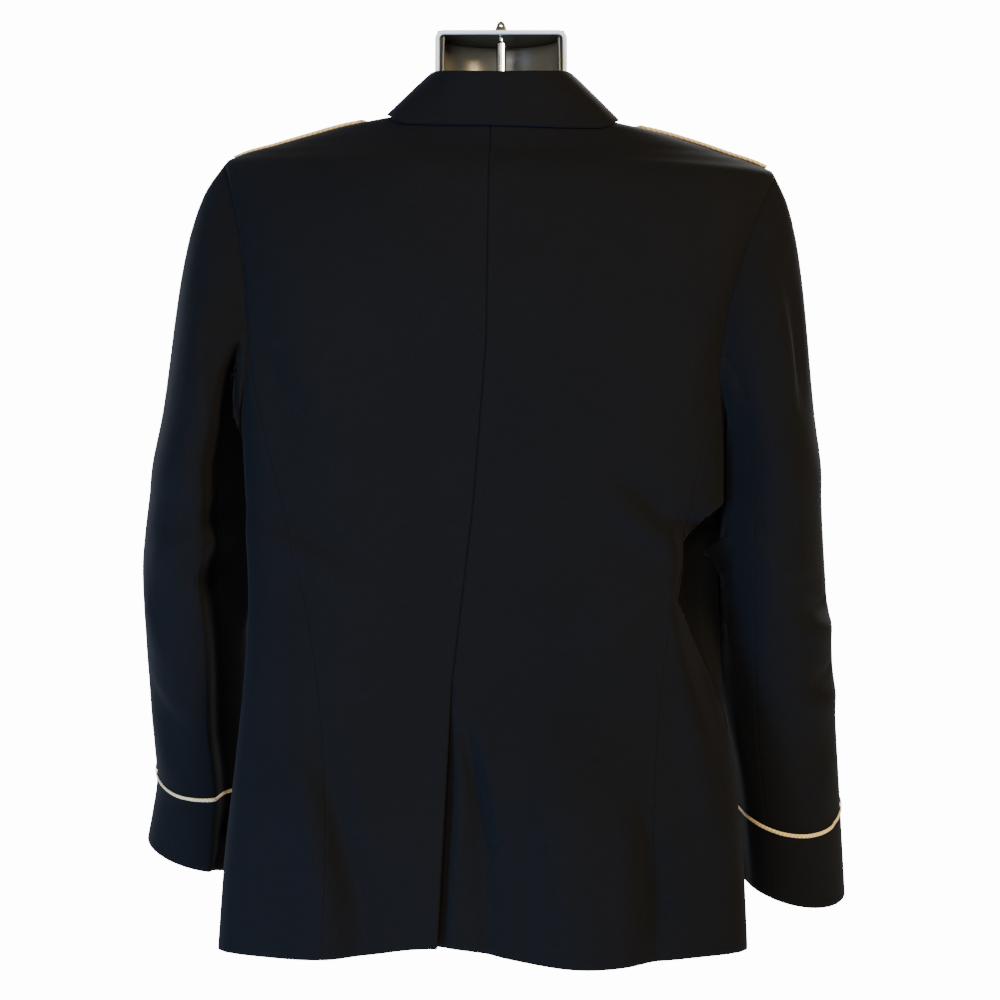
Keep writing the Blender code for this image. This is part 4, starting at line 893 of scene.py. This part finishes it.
def tuck(mid, out, edges, radius=TUCK_RADIUS, deep=TUCK_DEEP):
    """Turns the named edges of a grid inwards, as a pressed seam allowance is turned."""
    for edge in edges:
        axis = 0 if edge in ("low", "top") else 1
        last = edge in ("top", "end")
        grid = np.swapaxes(mid, 0, axis)
        away = np.swapaxes(out, 0, axis)
        if last:
            grid, away = grid[::-1], away[::-1]
        toward = unit(grid[1] - grid[0])
        base, up = grid[0].copy(), away[0]
        made = []
        for turn in (0.5, 1.0):
            angle = turn * math.pi / 2
            made.append(base + toward * radius * (1 - math.sin(angle)) - up * radius * (1 - math.cos(angle)))
        made.append(base - up * (radius + deep))
        keep = grid.copy()
        keep[0] = base + toward * radius
        grid = np.concatenate([np.array(made)[::-1], keep])
        away = np.concatenate([np.repeat(up[None], len(made), 0), away])
        if last:
            grid, away = grid[::-1], away[::-1]
        mid, out = np.swapaxes(grid, 0, axis), np.swapaxes(away, 0, axis)
    return mid, out


def rim_loops(mid, index, closed):
    """Each open edge as a loop of indices, with the way out of the cloth at each of its points."""
    rows, columns = mid.shape[:2]
    if closed:
        yield index[0], mid[0] - mid[1]
        yield index[-1][::-1], (mid[-1] - mid[-2])[np.r_[0, np.arange(columns - 1, 0, -1)]]
        return
    loop = np.concatenate([index[0, :-1], index[:-1, -1], index[-1, ::-1][:-1], index[::-1, 0]])
    row, column = loop[:-1] // columns, loop[:-1] % columns
    away = np.zeros((len(row), 3))
    for hit, step_row, step_column in (
        (row == 0, 1, 0), (row == rows - 1, -1, 0), (column == 0, 0, 1), (column == columns - 1, 0, -1)
    ):
        inner = mid[row[hit] + step_row, column[hit] + step_column]
        away[hit] += unit(mid[row[hit], column[hit]] - inner)
    yield loop, away


def shell(name, mid, thick=CLOTH, finish="cloth", closed=False, node=None):
    """A thin closed wall either side of a grid of points, its open edges rounded."""
    rows, columns = mid.shape[:2]
    if closed:
        normal = grid_normals(np.concatenate([mid[:, -1:], mid, mid[:, :1]], 1))[:, 1:-1]
    else:
        normal = grid_normals(mid)
    verts = [(mid + normal * thick / 2).reshape(-1, 3), (mid - normal * thick / 2).reshape(-1, 3)]
    shift = rows * columns
    index = np.arange(shift).reshape(rows, columns)
    if closed:
        index = np.concatenate([index, index[:, :1]], 1)
    quads = np.stack([index[:-1, :-1], index[:-1, 1:], index[1:, 1:], index[1:, :-1]], -1).reshape(-1, 4)
    faces = [quads, quads[:, ::-1] + shift]
    first = 2 * shift
    for loop, away in rim_loops(mid, index, closed):
        rim = mid.reshape(-1, 3)[loop[:-1]] + unit(away) * thick * EDGE_ROUND
        verts.append(rim)
        ids = first + np.append(np.arange(len(rim)), 0)
        faces.append(np.stack([loop[1:], loop[:-1], ids[:-1], ids[1:]], -1))
        faces.append(np.stack([ids[1:], ids[:-1], loop[:-1] + shift, loop[1:] + shift], -1))
        first += len(rim)
    mesh = bpy.data.meshes.new(name)
    mesh.from_pydata(np.concatenate(verts).tolist(), [], np.concatenate(faces).tolist())
    mesh.validate()
    face_uv(mesh, mid)
    # The form's inner face is marked here for the paler colour that paints light on the inside of the neck
    if finish == "form":
        inside = np.zeros(len(mesh.vertices), dtype=np.float32)
        inside[shift : 2 * shift] = 1
        mesh.attributes.new("inside", "FLOAT", "POINT").data.foreach_set("value", inside)
    return add_piece(name, mesh, finish, node)


def face_uv(mesh, mid):
    """A UV map in metres, along the grid's rows and columns, for the weave."""
    across = run_length(np.swapaxes(mid, 0, 1)).T
    across = across - across[:, mid.shape[1] // 2][:, None]
    uv = np.stack([across, run_length(mid)], -1).reshape(-1, 2)
    per_vertex = np.zeros((len(mesh.vertices), 2))
    per_vertex[: len(uv)] = uv
    per_vertex[len(uv) : 2 * len(uv)] = uv
    corner = np.empty(len(mesh.loops), dtype=np.int32)
    mesh.loops.foreach_get("vertex_index", corner)
    layer = mesh.uv_layers.new(name="cloth")
    layer.data.foreach_set("uv", per_vertex[corner].ravel())


def add_piece(name, mesh, finish, node=None):
    """Links a mesh as a piece that rides on the one body, in its finish and slot."""
    bm = bmesh.new()
    bm.from_mesh(mesh)
    bmesh.ops.recalc_face_normals(bm, faces=bm.faces)
    bm.to_mesh(mesh)
    bm.free()
    mesh.materials.append(FINISH[finish])
    mesh.shade_smooth()
    piece = bpy.data.objects.new(name, mesh)
    bpy.context.scene.collection.objects.link(piece)
    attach(piece, "root")
    if node:
        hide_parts(*node)
    return piece


def panel_edge(side, join, arm_steps, front):
    """Levels of a front or back from hem to neck, and its edge: seam, armhole, then shoulder."""
    low_v = seam_rows(side, join, PANEL_ROWS)
    arm = np.array([armhole(side, step) for step in arm_steps])
    top_v = np.linspace(arm[-1, 0], 1.0, SHOULDER_STEPS)[1:]
    v = np.concatenate([low_v, arm[:, 0], top_v])
    seam = body_seam(side, low_v, join, front)
    return v, np.concatenate([seam, arm[:, 1], BODY.side_line(side, top_v)])


def with_hem(side, level, tape):
    """Levels moved near the hem, to follow its line behind."""
    shift = hem_level(SIGN[side] * tape) - BODY.level(HEM)
    return level + shift * (1 - np.clip(level / HEM_FADE, 0, 1))


def back_panel(side):
    arm_steps = np.arange(ARM_BACK_JOIN - ARM_FINE, -0.01, -ARM_FINE)
    v, edge = panel_edge(side, ARM_BACK_JOIN, arm_steps, front=False)
    z = np.interp(v, BODY.v, BODY.z)
    seam = SIGN[side] * centre_seam(z)
    start = seam + SEAM_GAP
    if side == RIGHT:
        lap = smooth_step(VENT_TOP + VENT_LAP_FADE, VENT_TOP, z)
        start = seam - SEAM_ALLOWANCE - (VENT_LAP - SEAM_ALLOWANCE) * lap
    near = np.stack([start + (seam + VENT_NEAR - start) * t for t in np.linspace(0, 1, NEAR_STEPS)], 1)
    far = spread(seam + VENT_NEAR, edge - SEAM_GAP, BACK_STEPS)[:, 1:]
    tape = np.concatenate([near, far], 1)
    level = with_hem(side, np.repeat(v[:, None], tape.shape[1], 1), tape)
    inside = tape - seam[:, None]
    down = smooth_step(VENT_TOP + VENT_OPENS[0], VENT_TOP - VENT_OPENS[1], z)[:, None]
    if side == RIGHT:
        dip = SEAM_DIP + (VENT_UNDER_WIDE - SEAM_DIP) * down
        lift = -(LAP_DEPTH + 2 * GAP + VENT_UNDER * down) * smooth_step(dip, 0.0, inside)
    else:
        lift = VENT_PROUD * down * smooth_step(VENT_PROUD_WIDE, 0.0, inside)
    mid, out = body_mid(side, level, tape, lift)
    if side == LEFT:
        mid, out = tuck(mid, out, ["start"], deep=FOLD_DEEP)
    mid, _ = tuck(mid, out, ["end", "top"])
    piece = shell(f"back_{side}_cloth", mid, node=[f"back_{side}"])


def front_panel(side):
    arm_steps = np.arange(ARM_FRONT_JOIN + ARM_FINE, ARM_STEPS + 0.01, ARM_FINE)
    v, edge = panel_edge(side, ARM_FRONT_JOIN, arm_steps, front=True)
    tape = spread(edge + SEAM_GAP, front_edge(side, v), FRONT_STEPS)
    level = np.repeat(v[:, None], FRONT_STEPS, 1)
    mid, out = body_mid(side, level, tape, closing_lift(side, level, tape))
    mid, _ = tuck(mid, out, ["start", "top"])
    piece = shell(f"front_{side}_cloth", mid, node=[f"front_{side}"])


def side_panel(side):
    steps = np.arange(ARM_BACK_JOIN, ARM_FRONT_JOIN + 0.01, ARM_FINE)
    top = np.array([armhole(side, step) for step in steps])
    back_v = seam_rows(side, ARM_BACK_JOIN, PANEL_ROWS)
    front_v = seam_rows(side, ARM_FRONT_JOIN, PANEL_ROWS)
    back = body_seam(side, back_v, ARM_BACK_JOIN, front=False) + SEAM_GAP
    front = body_seam(side, front_v, ARM_FRONT_JOIN, front=True) - SEAM_GAP
    climb = (back_v - back_v[0]) / (back_v[-1] - back_v[0])
    share = (top[:, 1] - top[0, 1]) / (top[-1, 1] - top[0, 1])
    tape = back[:, None] * (1 - share) + front[:, None] * share
    level = with_hem(side, back_v[0] + climb[:, None] * (top[:, 0] - back_v[0]), tape)
    mid, out = body_mid(side, level, tape)
    mid, _ = tuck(mid, out, ["start", "end", "top"])
    piece = shell(f"side_{side}_cloth", mid, node=[f"side_{side}"])


def fine_rings(side):
    """The sleeve's rings at a finer step, with the under sleeve's fall and the creases."""
    rings = sleeve_rings(side)
    wrapped = np.concatenate([rings[:, -3:], rings, rings[:, :3]], 1)
    turn = np.arange(-3, ARM_STEPS + 3)
    fine = np.stack([[natural(turn, ring[:, a], SLEEVE_TURN) for a in range(3)] for ring in wrapped])
    fine = np.moveaxis(fine, 1, 2)
    length = run_length(fine.mean(1))
    top_rows = np.linspace(0, length[2], SLEEVE_TOP_STEPS)[:-1]
    at = np.concatenate([top_rows, np.linspace(length[2], length[-1], SLEEVE_STEPS)])
    out = np.empty((len(at), fine.shape[1], 3))
    for a in range(3):
        for j in range(fine.shape[1]):
            out[:, j, a] = natural(length, fine[:, j, a], at)
    deep, (start, full, ending, end), (top, low), (ease, eased) = UNDER_FALL[side]
    around = smooth_step(start, full, SLEEVE_TURN) * smooth_step(end, ending, SLEEVE_TURN)
    eased_share = (1 - UNDER_FALL_AT_CUFF) * smooth_step(ease, eased, out[..., 2])
    down = smooth_step(top, low, out[..., 2]) * (1 - eased_share)
    down = down * smooth_step(*UNDER_FALL_HANG, out[0][None, :, 2] - out[..., 2])
    out[..., 1] -= deep * around * down
    out = touch_body(side, out)
    normal = ring_outward(out)
    girth = np.linalg.norm(out - np.roll(out, 1, 1), axis=-1).sum(1).mean()
    step = girth / ARM_STEPS
    round_x = np.broadcast_to(SLEEVE_TURN * girth / ARM_STEPS, out.shape[:2])
    creases = [
        (ta * step, za, tb * step, zb, tc * step, zc, wide, high)
        for ta, za, tb, zb, tc, zc, wide, high in SLEEVE_CREASES[side]
    ]
    total = sum(crease_field(round_x + copy, out[..., 2], creases) for copy in (-girth, 0.0, girth))
    return out + normal * total[..., None], normal


def touch_body(side, rings):
    """Brings the inner side of a sleeve up to the body, so that no gap is left between them."""
    start, full, ending, end = TOUCH_STEPS
    around = smooth_step(start, full, SLEEVE_TURN) * smooth_step(end, ending, SLEEVE_TURN)
    top, below, ease, low = TOUCH_Z
    z = rings[..., 2]
    weight = around * smooth_step(top, below, z) * smooth_step(low, ease, z)
    tape = np.linspace(0, 1, TOUCH_POINTS)
    for row in range(len(rings)):
        pick = np.nonzero(weight[row] > 0)[0]
        if not len(pick):
            continue
        level = float(BODY.level(rings[row, pick, 2].mean()))
        line = torso(side, np.full(len(tape), level), tape * float(BODY.front_line(side, level)))
        order = np.argsort(line[:, 1])
        body_x = SIGN[side] * np.interp(rings[row, pick, 1], line[order, 1], line[order, 0])
        gap = np.maximum(SIGN[side] * rings[row, pick, 0] - (body_x + CLOTH + TOUCH_ROOM), 0)
        gap = gap * smooth_step(TOUCH_REACH[1], TOUCH_REACH[0], gap)
        rings[row, pick, 0] -= SIGN[side] * gap * weight[row, pick]
    return rings


def natural(knots, values, at):
    """Catmull-Rom through the knots."""
    knots, values, at = (np.asarray(q, float) for q in (knots, values, at))
    slope = np.gradient(values, knots)
    i = np.clip(np.searchsorted(knots, at, side="right") - 1, 0, len(knots) - 2)
    h = knots[i + 1] - knots[i]
    return hermite((at - knots[i]) / h, values[i], h * slope[i], values[i + 1], h * slope[i + 1])


def ring_outward(rings):
    """Unit normals of a stack of closed rings."""
    along = np.gradient(rings, axis=0)
    around = np.roll(rings, -1, 1) - np.roll(rings, 1, 1)
    across = unit(np.cross(around, along))
    away = rings - rings.mean(1, keepdims=True)
    return across * np.sign((across * away).sum(-1, keepdims=True))


def sleeve(side):
    """The top and the under sleeve, tucked in at the armhole and at their seams."""
    rings, normal = fine_rings(side)
    hole = np.array([armhole(side, step) for step in SLEEVE_TURN])
    seam = torso(side, hole[:, 0], hole[:, 1])
    inward = torso_outward(side, hole[:, 0], hole[:, 1])
    head = [seam - inward * deep for deep in HEAD_DEEP]
    mid = np.concatenate([head, rings - normal * CLOTH / 2])
    outward = np.concatenate([np.repeat(normal[:1], len(head), 0), normal])
    for name, first, last in (
        ("under_sleeve", TOP_SLEEVE_START, TOP_SLEEVE_END),
        ("top_sleeve", TOP_SLEEVE_END, TOP_SLEEVE_START + ARM_STEPS),
    ):
        pick = np.arange(first * SLEEVE_FINE, last * SLEEVE_FINE + 1) % rings.shape[1]
        grid = mid[:, pick].copy()
        for edge, inner in ((0, 1), (-1, -2)):
            grid[:, edge] += unit(grid[:, inner] - grid[:, edge]) * SEAM_GAP
        grid, _ = tuck(grid, outward[:, pick], ["start", "end"])
        piece = shell(f"{name}_{side}_cloth", grid, node=[f"{name}_{side}"])
    cuff_braid(side, rings, normal)


def cuff_braid(side, rings, normal):
    """The braid round the cuff, rounded across its width."""
    length = run_length(rings.mean(1))
    rise = 1 - np.sin(2 * math.pi * SLEEVE_TURN / ARM_STEPS)
    above = CUFF_BRAID_ABOVE[side] + CUFF_BRAID_RISE[side] * rise
    if side == RIGHT:
        above = above + BRAID_JOINT * smooth_step(JOINT_STEP[1], JOINT_STEP[0], SLEEVE_TURN)
    column = np.arange(len(SLEEVE_TURN))
    bands = []
    for share in np.linspace(-1, 1, BRAID_STEPS):
        at = length[-1] - above - BRAID_WIDTH * (1 - share) / 2
        row = np.searchsorted(length, at) - 1
        t = ((at - length[row]) / (length[row + 1] - length[row]))[:, None]
        point = rings[row, column] * (1 - t) + rings[row + 1, column] * t
        out = normal[row, column] * (1 - t) + normal[row + 1, column] * t
        lift = BRAID_THICK * (BRAID_LIFT[0] + BRAID_LIFT[1] * math.sqrt(max(0.0, 1 - share * share)))
        bands.append(point + out * (GAP + lift))
    shell(f"cuff_braid_{side}_cord", np.array(bands), BRAID_WALL, "braid", closed=True,
          node=[f"cuff_braid_{side}"])


def lapel(side):
    """A lapel: the fall on the front, and the roll it turns round."""
    rows = np.linspace(0, 1, LAPEL_ROWS)
    flat = np.linspace(0, 1, LAPEL_STEPS)
    height = LAPEL_LOW[side] + (LAPEL_TOP_Z - LAPEL_LOW[side]) * rows
    up = (height - BREAK_Z) / (LAPEL_TOP_Z - BREAK_Z)
    width = LAPEL_WIDTH * (up + LAPEL_BELLY * np.sin(math.pi * up))
    z = height[:, None] - GORGE_DROP * up[:, None] ** 2 * flat
    z = z - LAPEL_LOW_DROP[side] * (1 - rows[:, None]) ** 2 * flat
    level = BODY.level(z)
    edge = np.stack([front_edge(side, level[:, j]) for j in range(len(flat))], 1)
    tape = edge - GAP - width[:, None] * flat
    base = closing_lift(side, level, tape)
    lift = base + CLOTH + 3 * GAP + ROLL_PUFF * (1 - flat) ** 3
    turn = np.linspace(math.pi, 0, LAPEL_ROLL_STEPS)[:-1]
    tall = (CLOTH + 3 * GAP + ROLL_PUFF) / 2
    roll_tape = edge[:, :1] + GAP + np.minimum(tall, ROLL_OUT) * np.sin(turn)
    roll_lift = base[:, :1] + tall + tall * np.cos(turn)
    level = np.concatenate([np.repeat(level[:, :1], len(turn), 1), level], 1)
    tape = np.concatenate([roll_tape, tape], 1)
    lift = np.concatenate([roll_lift, lift], 1)
    mid, _ = body_mid(side, level, tape, lift)
    piece = shell(f"lapel_{side}_cloth", mid, node=[f"lapel_{side}"])


def collar():
    """The collar, from its seam up the stand, over the roll and down the fall."""
    lines = []
    for u in np.linspace(-1, 1, COLLAR_STEPS):
        seam, roll, edge = collar_section(u)
        stand, fall = unit(seam - roll), unit(edge - roll)
        out, top = unit(fall - stand), unit(-(stand + fall))
        knots = np.array(COLLAR_KNOTS) @ np.array([seam, roll, edge, stand, fall, top, out])
        hop = run_length(knots)
        want = np.interp(np.linspace(0, len(knots) - 1, COLLAR_POINTS), np.arange(len(knots)), hop)
        lines.append(np.stack([natural(hop, knots[:, a], want) for a in range(3)], 1))
    piece = shell("collar_cloth", np.array(lines), COLLAR_CLOTH, node=["collar"])


def loop_middle(side, v, share):
    """Tape length of a shoulder loop's middle line."""
    return BODY.side_line(side, v) + LOOP_FORWARD + LOOP_SHIFT[side] * share


def shoulder_loop(side):
    """A shoulder loop, and the braid wrapped round its edge."""
    share = np.concatenate([LOOP_NECK_SHARES, np.linspace(LOOP_POINT, 1, LOOP_ROWS)])
    across = np.linspace(-1, 1, LOOP_STEPS)
    v = np.repeat(loop_level(share)[:, None], len(across), 1)
    tape = loop_middle(side, v, share[:, None]) + loop_half(share)[:, None] * across
    mid, _ = body_mid(side, v, tape, LOOP_LIFT)
    piece = shell(f"shoulder_loop_{side}_cloth", mid, LOOP_THICK, node=[f"shoulder_loop_{side}"])
    outline = np.concatenate([share[::-1], share[1:]])
    sign = np.concatenate([-np.ones(len(share)), np.ones(len(share) - 1)])
    sign[len(share) - 1] = 0
    grids = []
    for inset in (0.0, BRAID_WIDTH):
        reach = np.clip(loop_half(outline) - inset, LOOP_LEAST, None) * sign
        along = np.minimum(outline + inset / BRAID_WIDTH * LOOP_END_INSET * (1 - outline), 1.0)
        v = loop_level(along)[:, None]
        tape = loop_middle(side, v, along[:, None]) + reach[:, None]
        grids.append(body_mid(side, v, tape, LOOP_LIFT))
    (edge, up), (inner, _) = grids
    edge, up = edge[:, 0], up[:, 0]
    away = unit(edge - inner[:, 0])
    turned = np.radians(LOOP_BRAID_TURN)
    section = [(-BRAID_WIDTH / 3, -BRAID_TALL)]
    section += [(BRAID_BULGE * math.cos(a), BRAID_TALL * math.sin(a)) for a in turned]
    section += [(-BRAID_WIDTH / 3, BRAID_TALL), (-BRAID_WIDTH * 0.9, BRAID_TALL - GAP)]
    wrap = np.stack([edge + away * out + up * rise for out, rise in section], 1)
    shell(f"loop_braid_{side}_cord", wrap, BRAID_WALL, "braid", node=[f"loop_braid_{side}"])


def form():
    """The torso form, finer than its solid."""
    table = dict(zip(FORM_COLUMNS, np.array(FORM_ROWS).T))
    swing = math.pi / 2 + FORM_BACK_SWING
    turn = np.linspace(-swing, swing, FORM_STEPS)
    z = np.linspace(table["z"][0], table["z"][-1], FORM_LEVELS)
    z = np.repeat(z[:, None], len(turn), 1)
    turn = np.repeat(turn[None, :], len(z), 0)
    outer = form_point(z, turn, table)
    normal = grid_normals(outer)
    away = outer - np.array([0.0, FORM_CORE_Y, 0.0])
    away[..., 2] = 0
    normal *= np.sign((normal * away).sum(-1, keepdims=True))
    shell("torso_form_shell", outer - normal * FORM_WALL / 2, FORM_WALL, "form", node=["torso_form"])


def neck_rim():
    """The pale moulded edge round the neck's open back: up one side, over the plate and down."""
    turn = np.radians(np.linspace(0, 90, RIM_CORNER_STEPS))
    wide, top = RIM_HALF - RIM_CORNER, RIM_TOP - RIM_CORNER
    corner = np.stack([wide + RIM_CORNER * np.cos(turn), top + RIM_CORNER * np.sin(turn)], 1)
    side_z = np.linspace(RIM_LOW, top, RIM_SIDE_STEPS)[:-1]
    half = np.concatenate([np.stack([np.full(len(side_z), RIM_HALF), side_z], 1), corner])
    over = np.linspace(wide, -wide, RIM_TOP_STEPS)[1:-1]
    over = np.stack([over, np.full(len(over), RIM_TOP)], 1)
    line = np.concatenate([half, over, half[::-1] * np.array([-1.0, 1.0])])
    run = unit(np.gradient(line, axis=0))
    x, z = line.T
    out_x, out_z = run[:, 1], -run[:, 0]
    grid = np.stack([
        np.stack([x + out_x * across, np.full(len(x), RIM_Y + back), z + out_z * across], 1)
        for across, back in RIM_SECTION
    ], 1)
    shell("neck_rim_plate", grid, RIM_WALL, "plate")


def mix_colour(tree, factor, low, high):
    """A colour ramp between two colours."""
    ramp = tree.nodes.new("ShaderNodeValToRGB")
    ramp.color_ramp.elements[0].color = (*low, 1)
    ramp.color_ramp.elements[1].color = (*high, 1)
    tree.links.new(factor, ramp.inputs["Fac"])
    return ramp.outputs["Color"]


def noise(tree, vector, scale, detail=4.0, rough=0.6):
    node = tree.nodes.new("ShaderNodeTexNoise")
    node.inputs["Scale"].default_value = scale
    node.inputs["Detail"].default_value = detail
    node.inputs["Roughness"].default_value = rough
    tree.links.new(vector, node.inputs["Vector"])
    return node.outputs["Fac"]


def wave(tree, vector, per_metre, angle):
    """Ribs at an angle."""
    turned = tree.nodes.new("ShaderNodeMapping")
    turned.inputs["Rotation"].default_value = (0, 0, angle)
    tree.links.new(vector, turned.inputs["Vector"])
    node = tree.nodes.new("ShaderNodeTexWave")
    node.inputs["Scale"].default_value = per_metre * 2 * math.pi / 20
    node.inputs["Distortion"].default_value = 0.6
    node.inputs["Detail Scale"].default_value = 1.5
    tree.links.new(turned.outputs["Vector"], node.inputs["Vector"])
    return node.outputs["Fac"]


def arithmetic(tree, kind, first, second):
    node = tree.nodes.new("ShaderNodeMath")
    node.operation = kind
    for socket, value in zip(node.inputs, (first, second)):
        if isinstance(value, float):
            socket.default_value = value
        else:
            tree.links.new(value, socket)
    return node.outputs["Value"]


def weighted(tree, *parts):
    """The sum of outputs, each times its weight."""
    total = None
    for value, weight in parts:
        share = arithmetic(tree, "MULTIPLY", value, weight)
        total = share if total is None else arithmetic(tree, "ADD", total, share)
    return total


def new_material(name, **sockets):
    made = bpy.data.materials.new(name)
    made.use_nodes = True
    shader = made.node_tree.nodes["Principled BSDF"]
    for socket, value in sockets.items():
        shader.inputs[socket.replace("_", " ")].default_value = value
    return made, made.node_tree, shader


def bump(tree, shader, height, distance, strength):
    node = tree.nodes.new("ShaderNodeBump")
    node.inputs["Distance"].default_value = distance
    node.inputs["Strength"].default_value = strength
    tree.links.new(height, node.inputs["Height"])
    tree.links.new(node.outputs["Normal"], shader.inputs["Normal"])


def coordinates(tree):
    """Object coordinates, and the cloth's UV map in metres."""
    place = tree.nodes.new("ShaderNodeTexCoord")
    uv = tree.nodes.new("ShaderNodeUVMap")
    uv.uv_map = "cloth"
    return place.outputs["Object"], uv.outputs["UV"]


def vary_roughness(tree, shader, value, low, high):
    rough = tree.nodes.new("ShaderNodeMapRange")
    rough.inputs["To Min"].default_value = low
    rough.inputs["To Max"].default_value = high
    tree.links.new(value, rough.inputs["Value"])
    tree.links.new(rough.outputs["Result"], shader.inputs["Roughness"])


def cloth_material():
    """Navy wool: twill ribs, drawn threads and lint in its tone."""
    made, tree, shader = new_material(
        "navy wool twill", Roughness=0.9, Specular_IOR_Level=0.06, Sheen_Weight=0.02, Sheen_Roughness=0.45,
        Sheen_Tint=(0.75, 0.80, 1.0, 1.0),
    )
    place, uv = coordinates(tree)
    twill = wave(tree, uv, TWILL_PER_M, TWILL_ANGLE)
    yarn = wave(tree, uv, YARN_PER_M, math.pi / 2)
    fuzz = noise(tree, place, 900.0, 2.0, 0.7)
    wide = noise(tree, place, 9.0, 3.0, 0.55)
    lint = noise(tree, place, 160.0, 3.0, 0.65)
    drawn = tree.nodes.new("ShaderNodeMapping")
    drawn.inputs["Scale"].default_value = (*THREADS_PER_M, 1.0)
    tree.links.new(uv, drawn.inputs["Vector"])
    threads = noise(tree, drawn.outputs["Vector"], 1.0, 3.0, 0.6)
    grain = weighted(tree, (twill, 0.50), (yarn, 0.20), (fuzz, 0.45))
    tone = weighted(tree, (grain, 0.30), (threads, 0.55), (wide, 0.25), (lint, 0.15))
    tree.links.new(mix_colour(tree, tone, CLOTH_DARK, CLOTH_LIGHT), shader.inputs["Base Color"])
    vary_roughness(tree, shader, fuzz, *CLOTH_ROUGH)
    bump(tree, shader, grain, CLOTH_BUMP, 0.5)
    return made


def braid_material():
    """Pale gold braid, with its strands and some wear."""
    made, tree, shader = new_material(
        "pale gold braid", Metallic=0.15, Roughness=0.55, Sheen_Weight=0.2, Specular_IOR_Level=0.6
    )
    place, uv = coordinates(tree)
    strand = wave(tree, uv, STRANDS_PER_M, STRAND_ANGLE)
    tone = weighted(tree, (strand, 0.6), (noise(tree, place, 120.0), 0.4))
    tree.links.new(mix_colour(tree, tone, BRAID_DARK, BRAID_LIGHT), shader.inputs["Base Color"])
    bump(tree, shader, strand, BRAID_BUMP, 0.8)
    return made


def hard_material(name, low, high, scale, metallic, rough_low, rough_high):
    """A moulded or metal finish whose roughness and tone vary a little."""
    made, tree, shader = new_material(name, Metallic=metallic)
    place = tree.nodes.new("ShaderNodeTexCoord").outputs["Object"]
    cloud = noise(tree, place, scale)
    tree.links.new(mix_colour(tree, cloud, low, high), shader.inputs["Base Color"])
    vary_roughness(tree, shader, cloud, rough_low, rough_high)
    bump(tree, shader, noise(tree, place, scale * 8), HARD_BUMP, 0.4)
    return made


def form_material():
    """Black moulded plastic; its inner face is given a paler colour as painted light, so the inside of the
    neck looks lit.
    """
    made = hard_material(*HARD_FINISHES["form"])
    tree = made.node_tree
    base = tree.nodes["Principled BSDF"].inputs["Base Color"]
    outer = base.links[0].from_socket
    # Painted light: the marked inner face gets the paler colour in place of the black plastic
    inner = tree.nodes.new("ShaderNodeAttribute")
    inner.attribute_name = "inside"
    both = tree.nodes.new("ShaderNodeMix")
    both.data_type = "RGBA"
    both.inputs["B"].default_value = (*FORM_INSIDE_PAINTED_LIGHT, 1)
    tree.links.new(inner.outputs["Fac"], both.inputs["Factor"])
    tree.links.new(outer, both.inputs["A"])
    tree.links.new(both.outputs["Result"], base)
    return made


def light(name, at, target, size, energy, colour):
    lamp = bpy.data.lights.new(name, "AREA")
    lamp.shape = "RECTANGLE"
    lamp.size, lamp.size_y = size
    lamp.energy = energy
    lamp.color = colour
    made = bpy.data.objects.new(name, lamp)
    bpy.context.scene.collection.objects.link(made)
    made.location = at
    made.rotation_euler = (Vector(target) - Vector(at)).to_track_quat("-Z", "Y").to_euler()


def studio():
    scene = bpy.context.scene
    camera = bpy.data.cameras.new("camera")
    camera.lens = CAMERA_LENS
    camera.sensor_width = CAMERA_SENSOR
    eye = bpy.data.objects.new("camera", camera)
    scene.collection.objects.link(eye)
    eye.location = CAMERA_AT
    eye.rotation_euler = (math.pi / 2, 0, math.pi)
    scene.camera = eye
    bpy.ops.mesh.primitive_plane_add(size=FLOOR_SIZE, location=(0, 0, FLOOR_Z))
    floor = bpy.context.object
    floor.name = "floor"
    paint, _, _ = new_material("pale floor", Roughness=0.9, Base_Color=FLOOR_COLOUR)
    floor.data.materials.append(paint)
    world = bpy.data.worlds.new("studio")
    scene.world = world
    world.use_nodes = True
    tree = world.node_tree
    lit = tree.nodes["Background"]
    lit.inputs["Color"].default_value = WHITE
    lit.inputs["Strength"].default_value = WORLD_STRENGTH
    seen = tree.nodes.new("ShaderNodeBackground")
    seen.inputs["Color"].default_value = WHITE
    seen.inputs["Strength"].default_value = WORLD_SEEN
    path = tree.nodes.new("ShaderNodeLightPath")
    both = tree.nodes.new("ShaderNodeMixShader")
    tree.links.new(path.outputs["Is Camera Ray"], both.inputs["Fac"])
    tree.links.new(lit.outputs["Background"], both.inputs[1])
    tree.links.new(seen.outputs["Background"], both.inputs[2])
    tree.links.new(both.outputs["Shader"], tree.nodes["World Output"].inputs["Surface"])
    for lamp in LIGHTS:
        light(*lamp)


for item in [o for o in bpy.data.objects if o.type in ("CAMERA", "LIGHT")]:
    bpy.data.objects.remove(item)
FINISH = {"cloth": cloth_material(), "braid": braid_material(), "form": form_material()}
for kind in ("plate", "chrome", "ferrule", "button"):
    FINISH[kind] = hard_material(*HARD_FINISHES[kind])
studio()
form()
neck_rim()
for side in (LEFT, RIGHT):
    front_panel(side)
    back_panel(side)
    side_panel(side)
    sleeve(side)
    lapel(side)
    shoulder_loop(side)
collar()
for node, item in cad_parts.items():
    finish = "button" if "button" in node else NODE_FINISH.get(node)
    if finish:
        for place in item.material_slots:
            place.material = FINISH[finish]
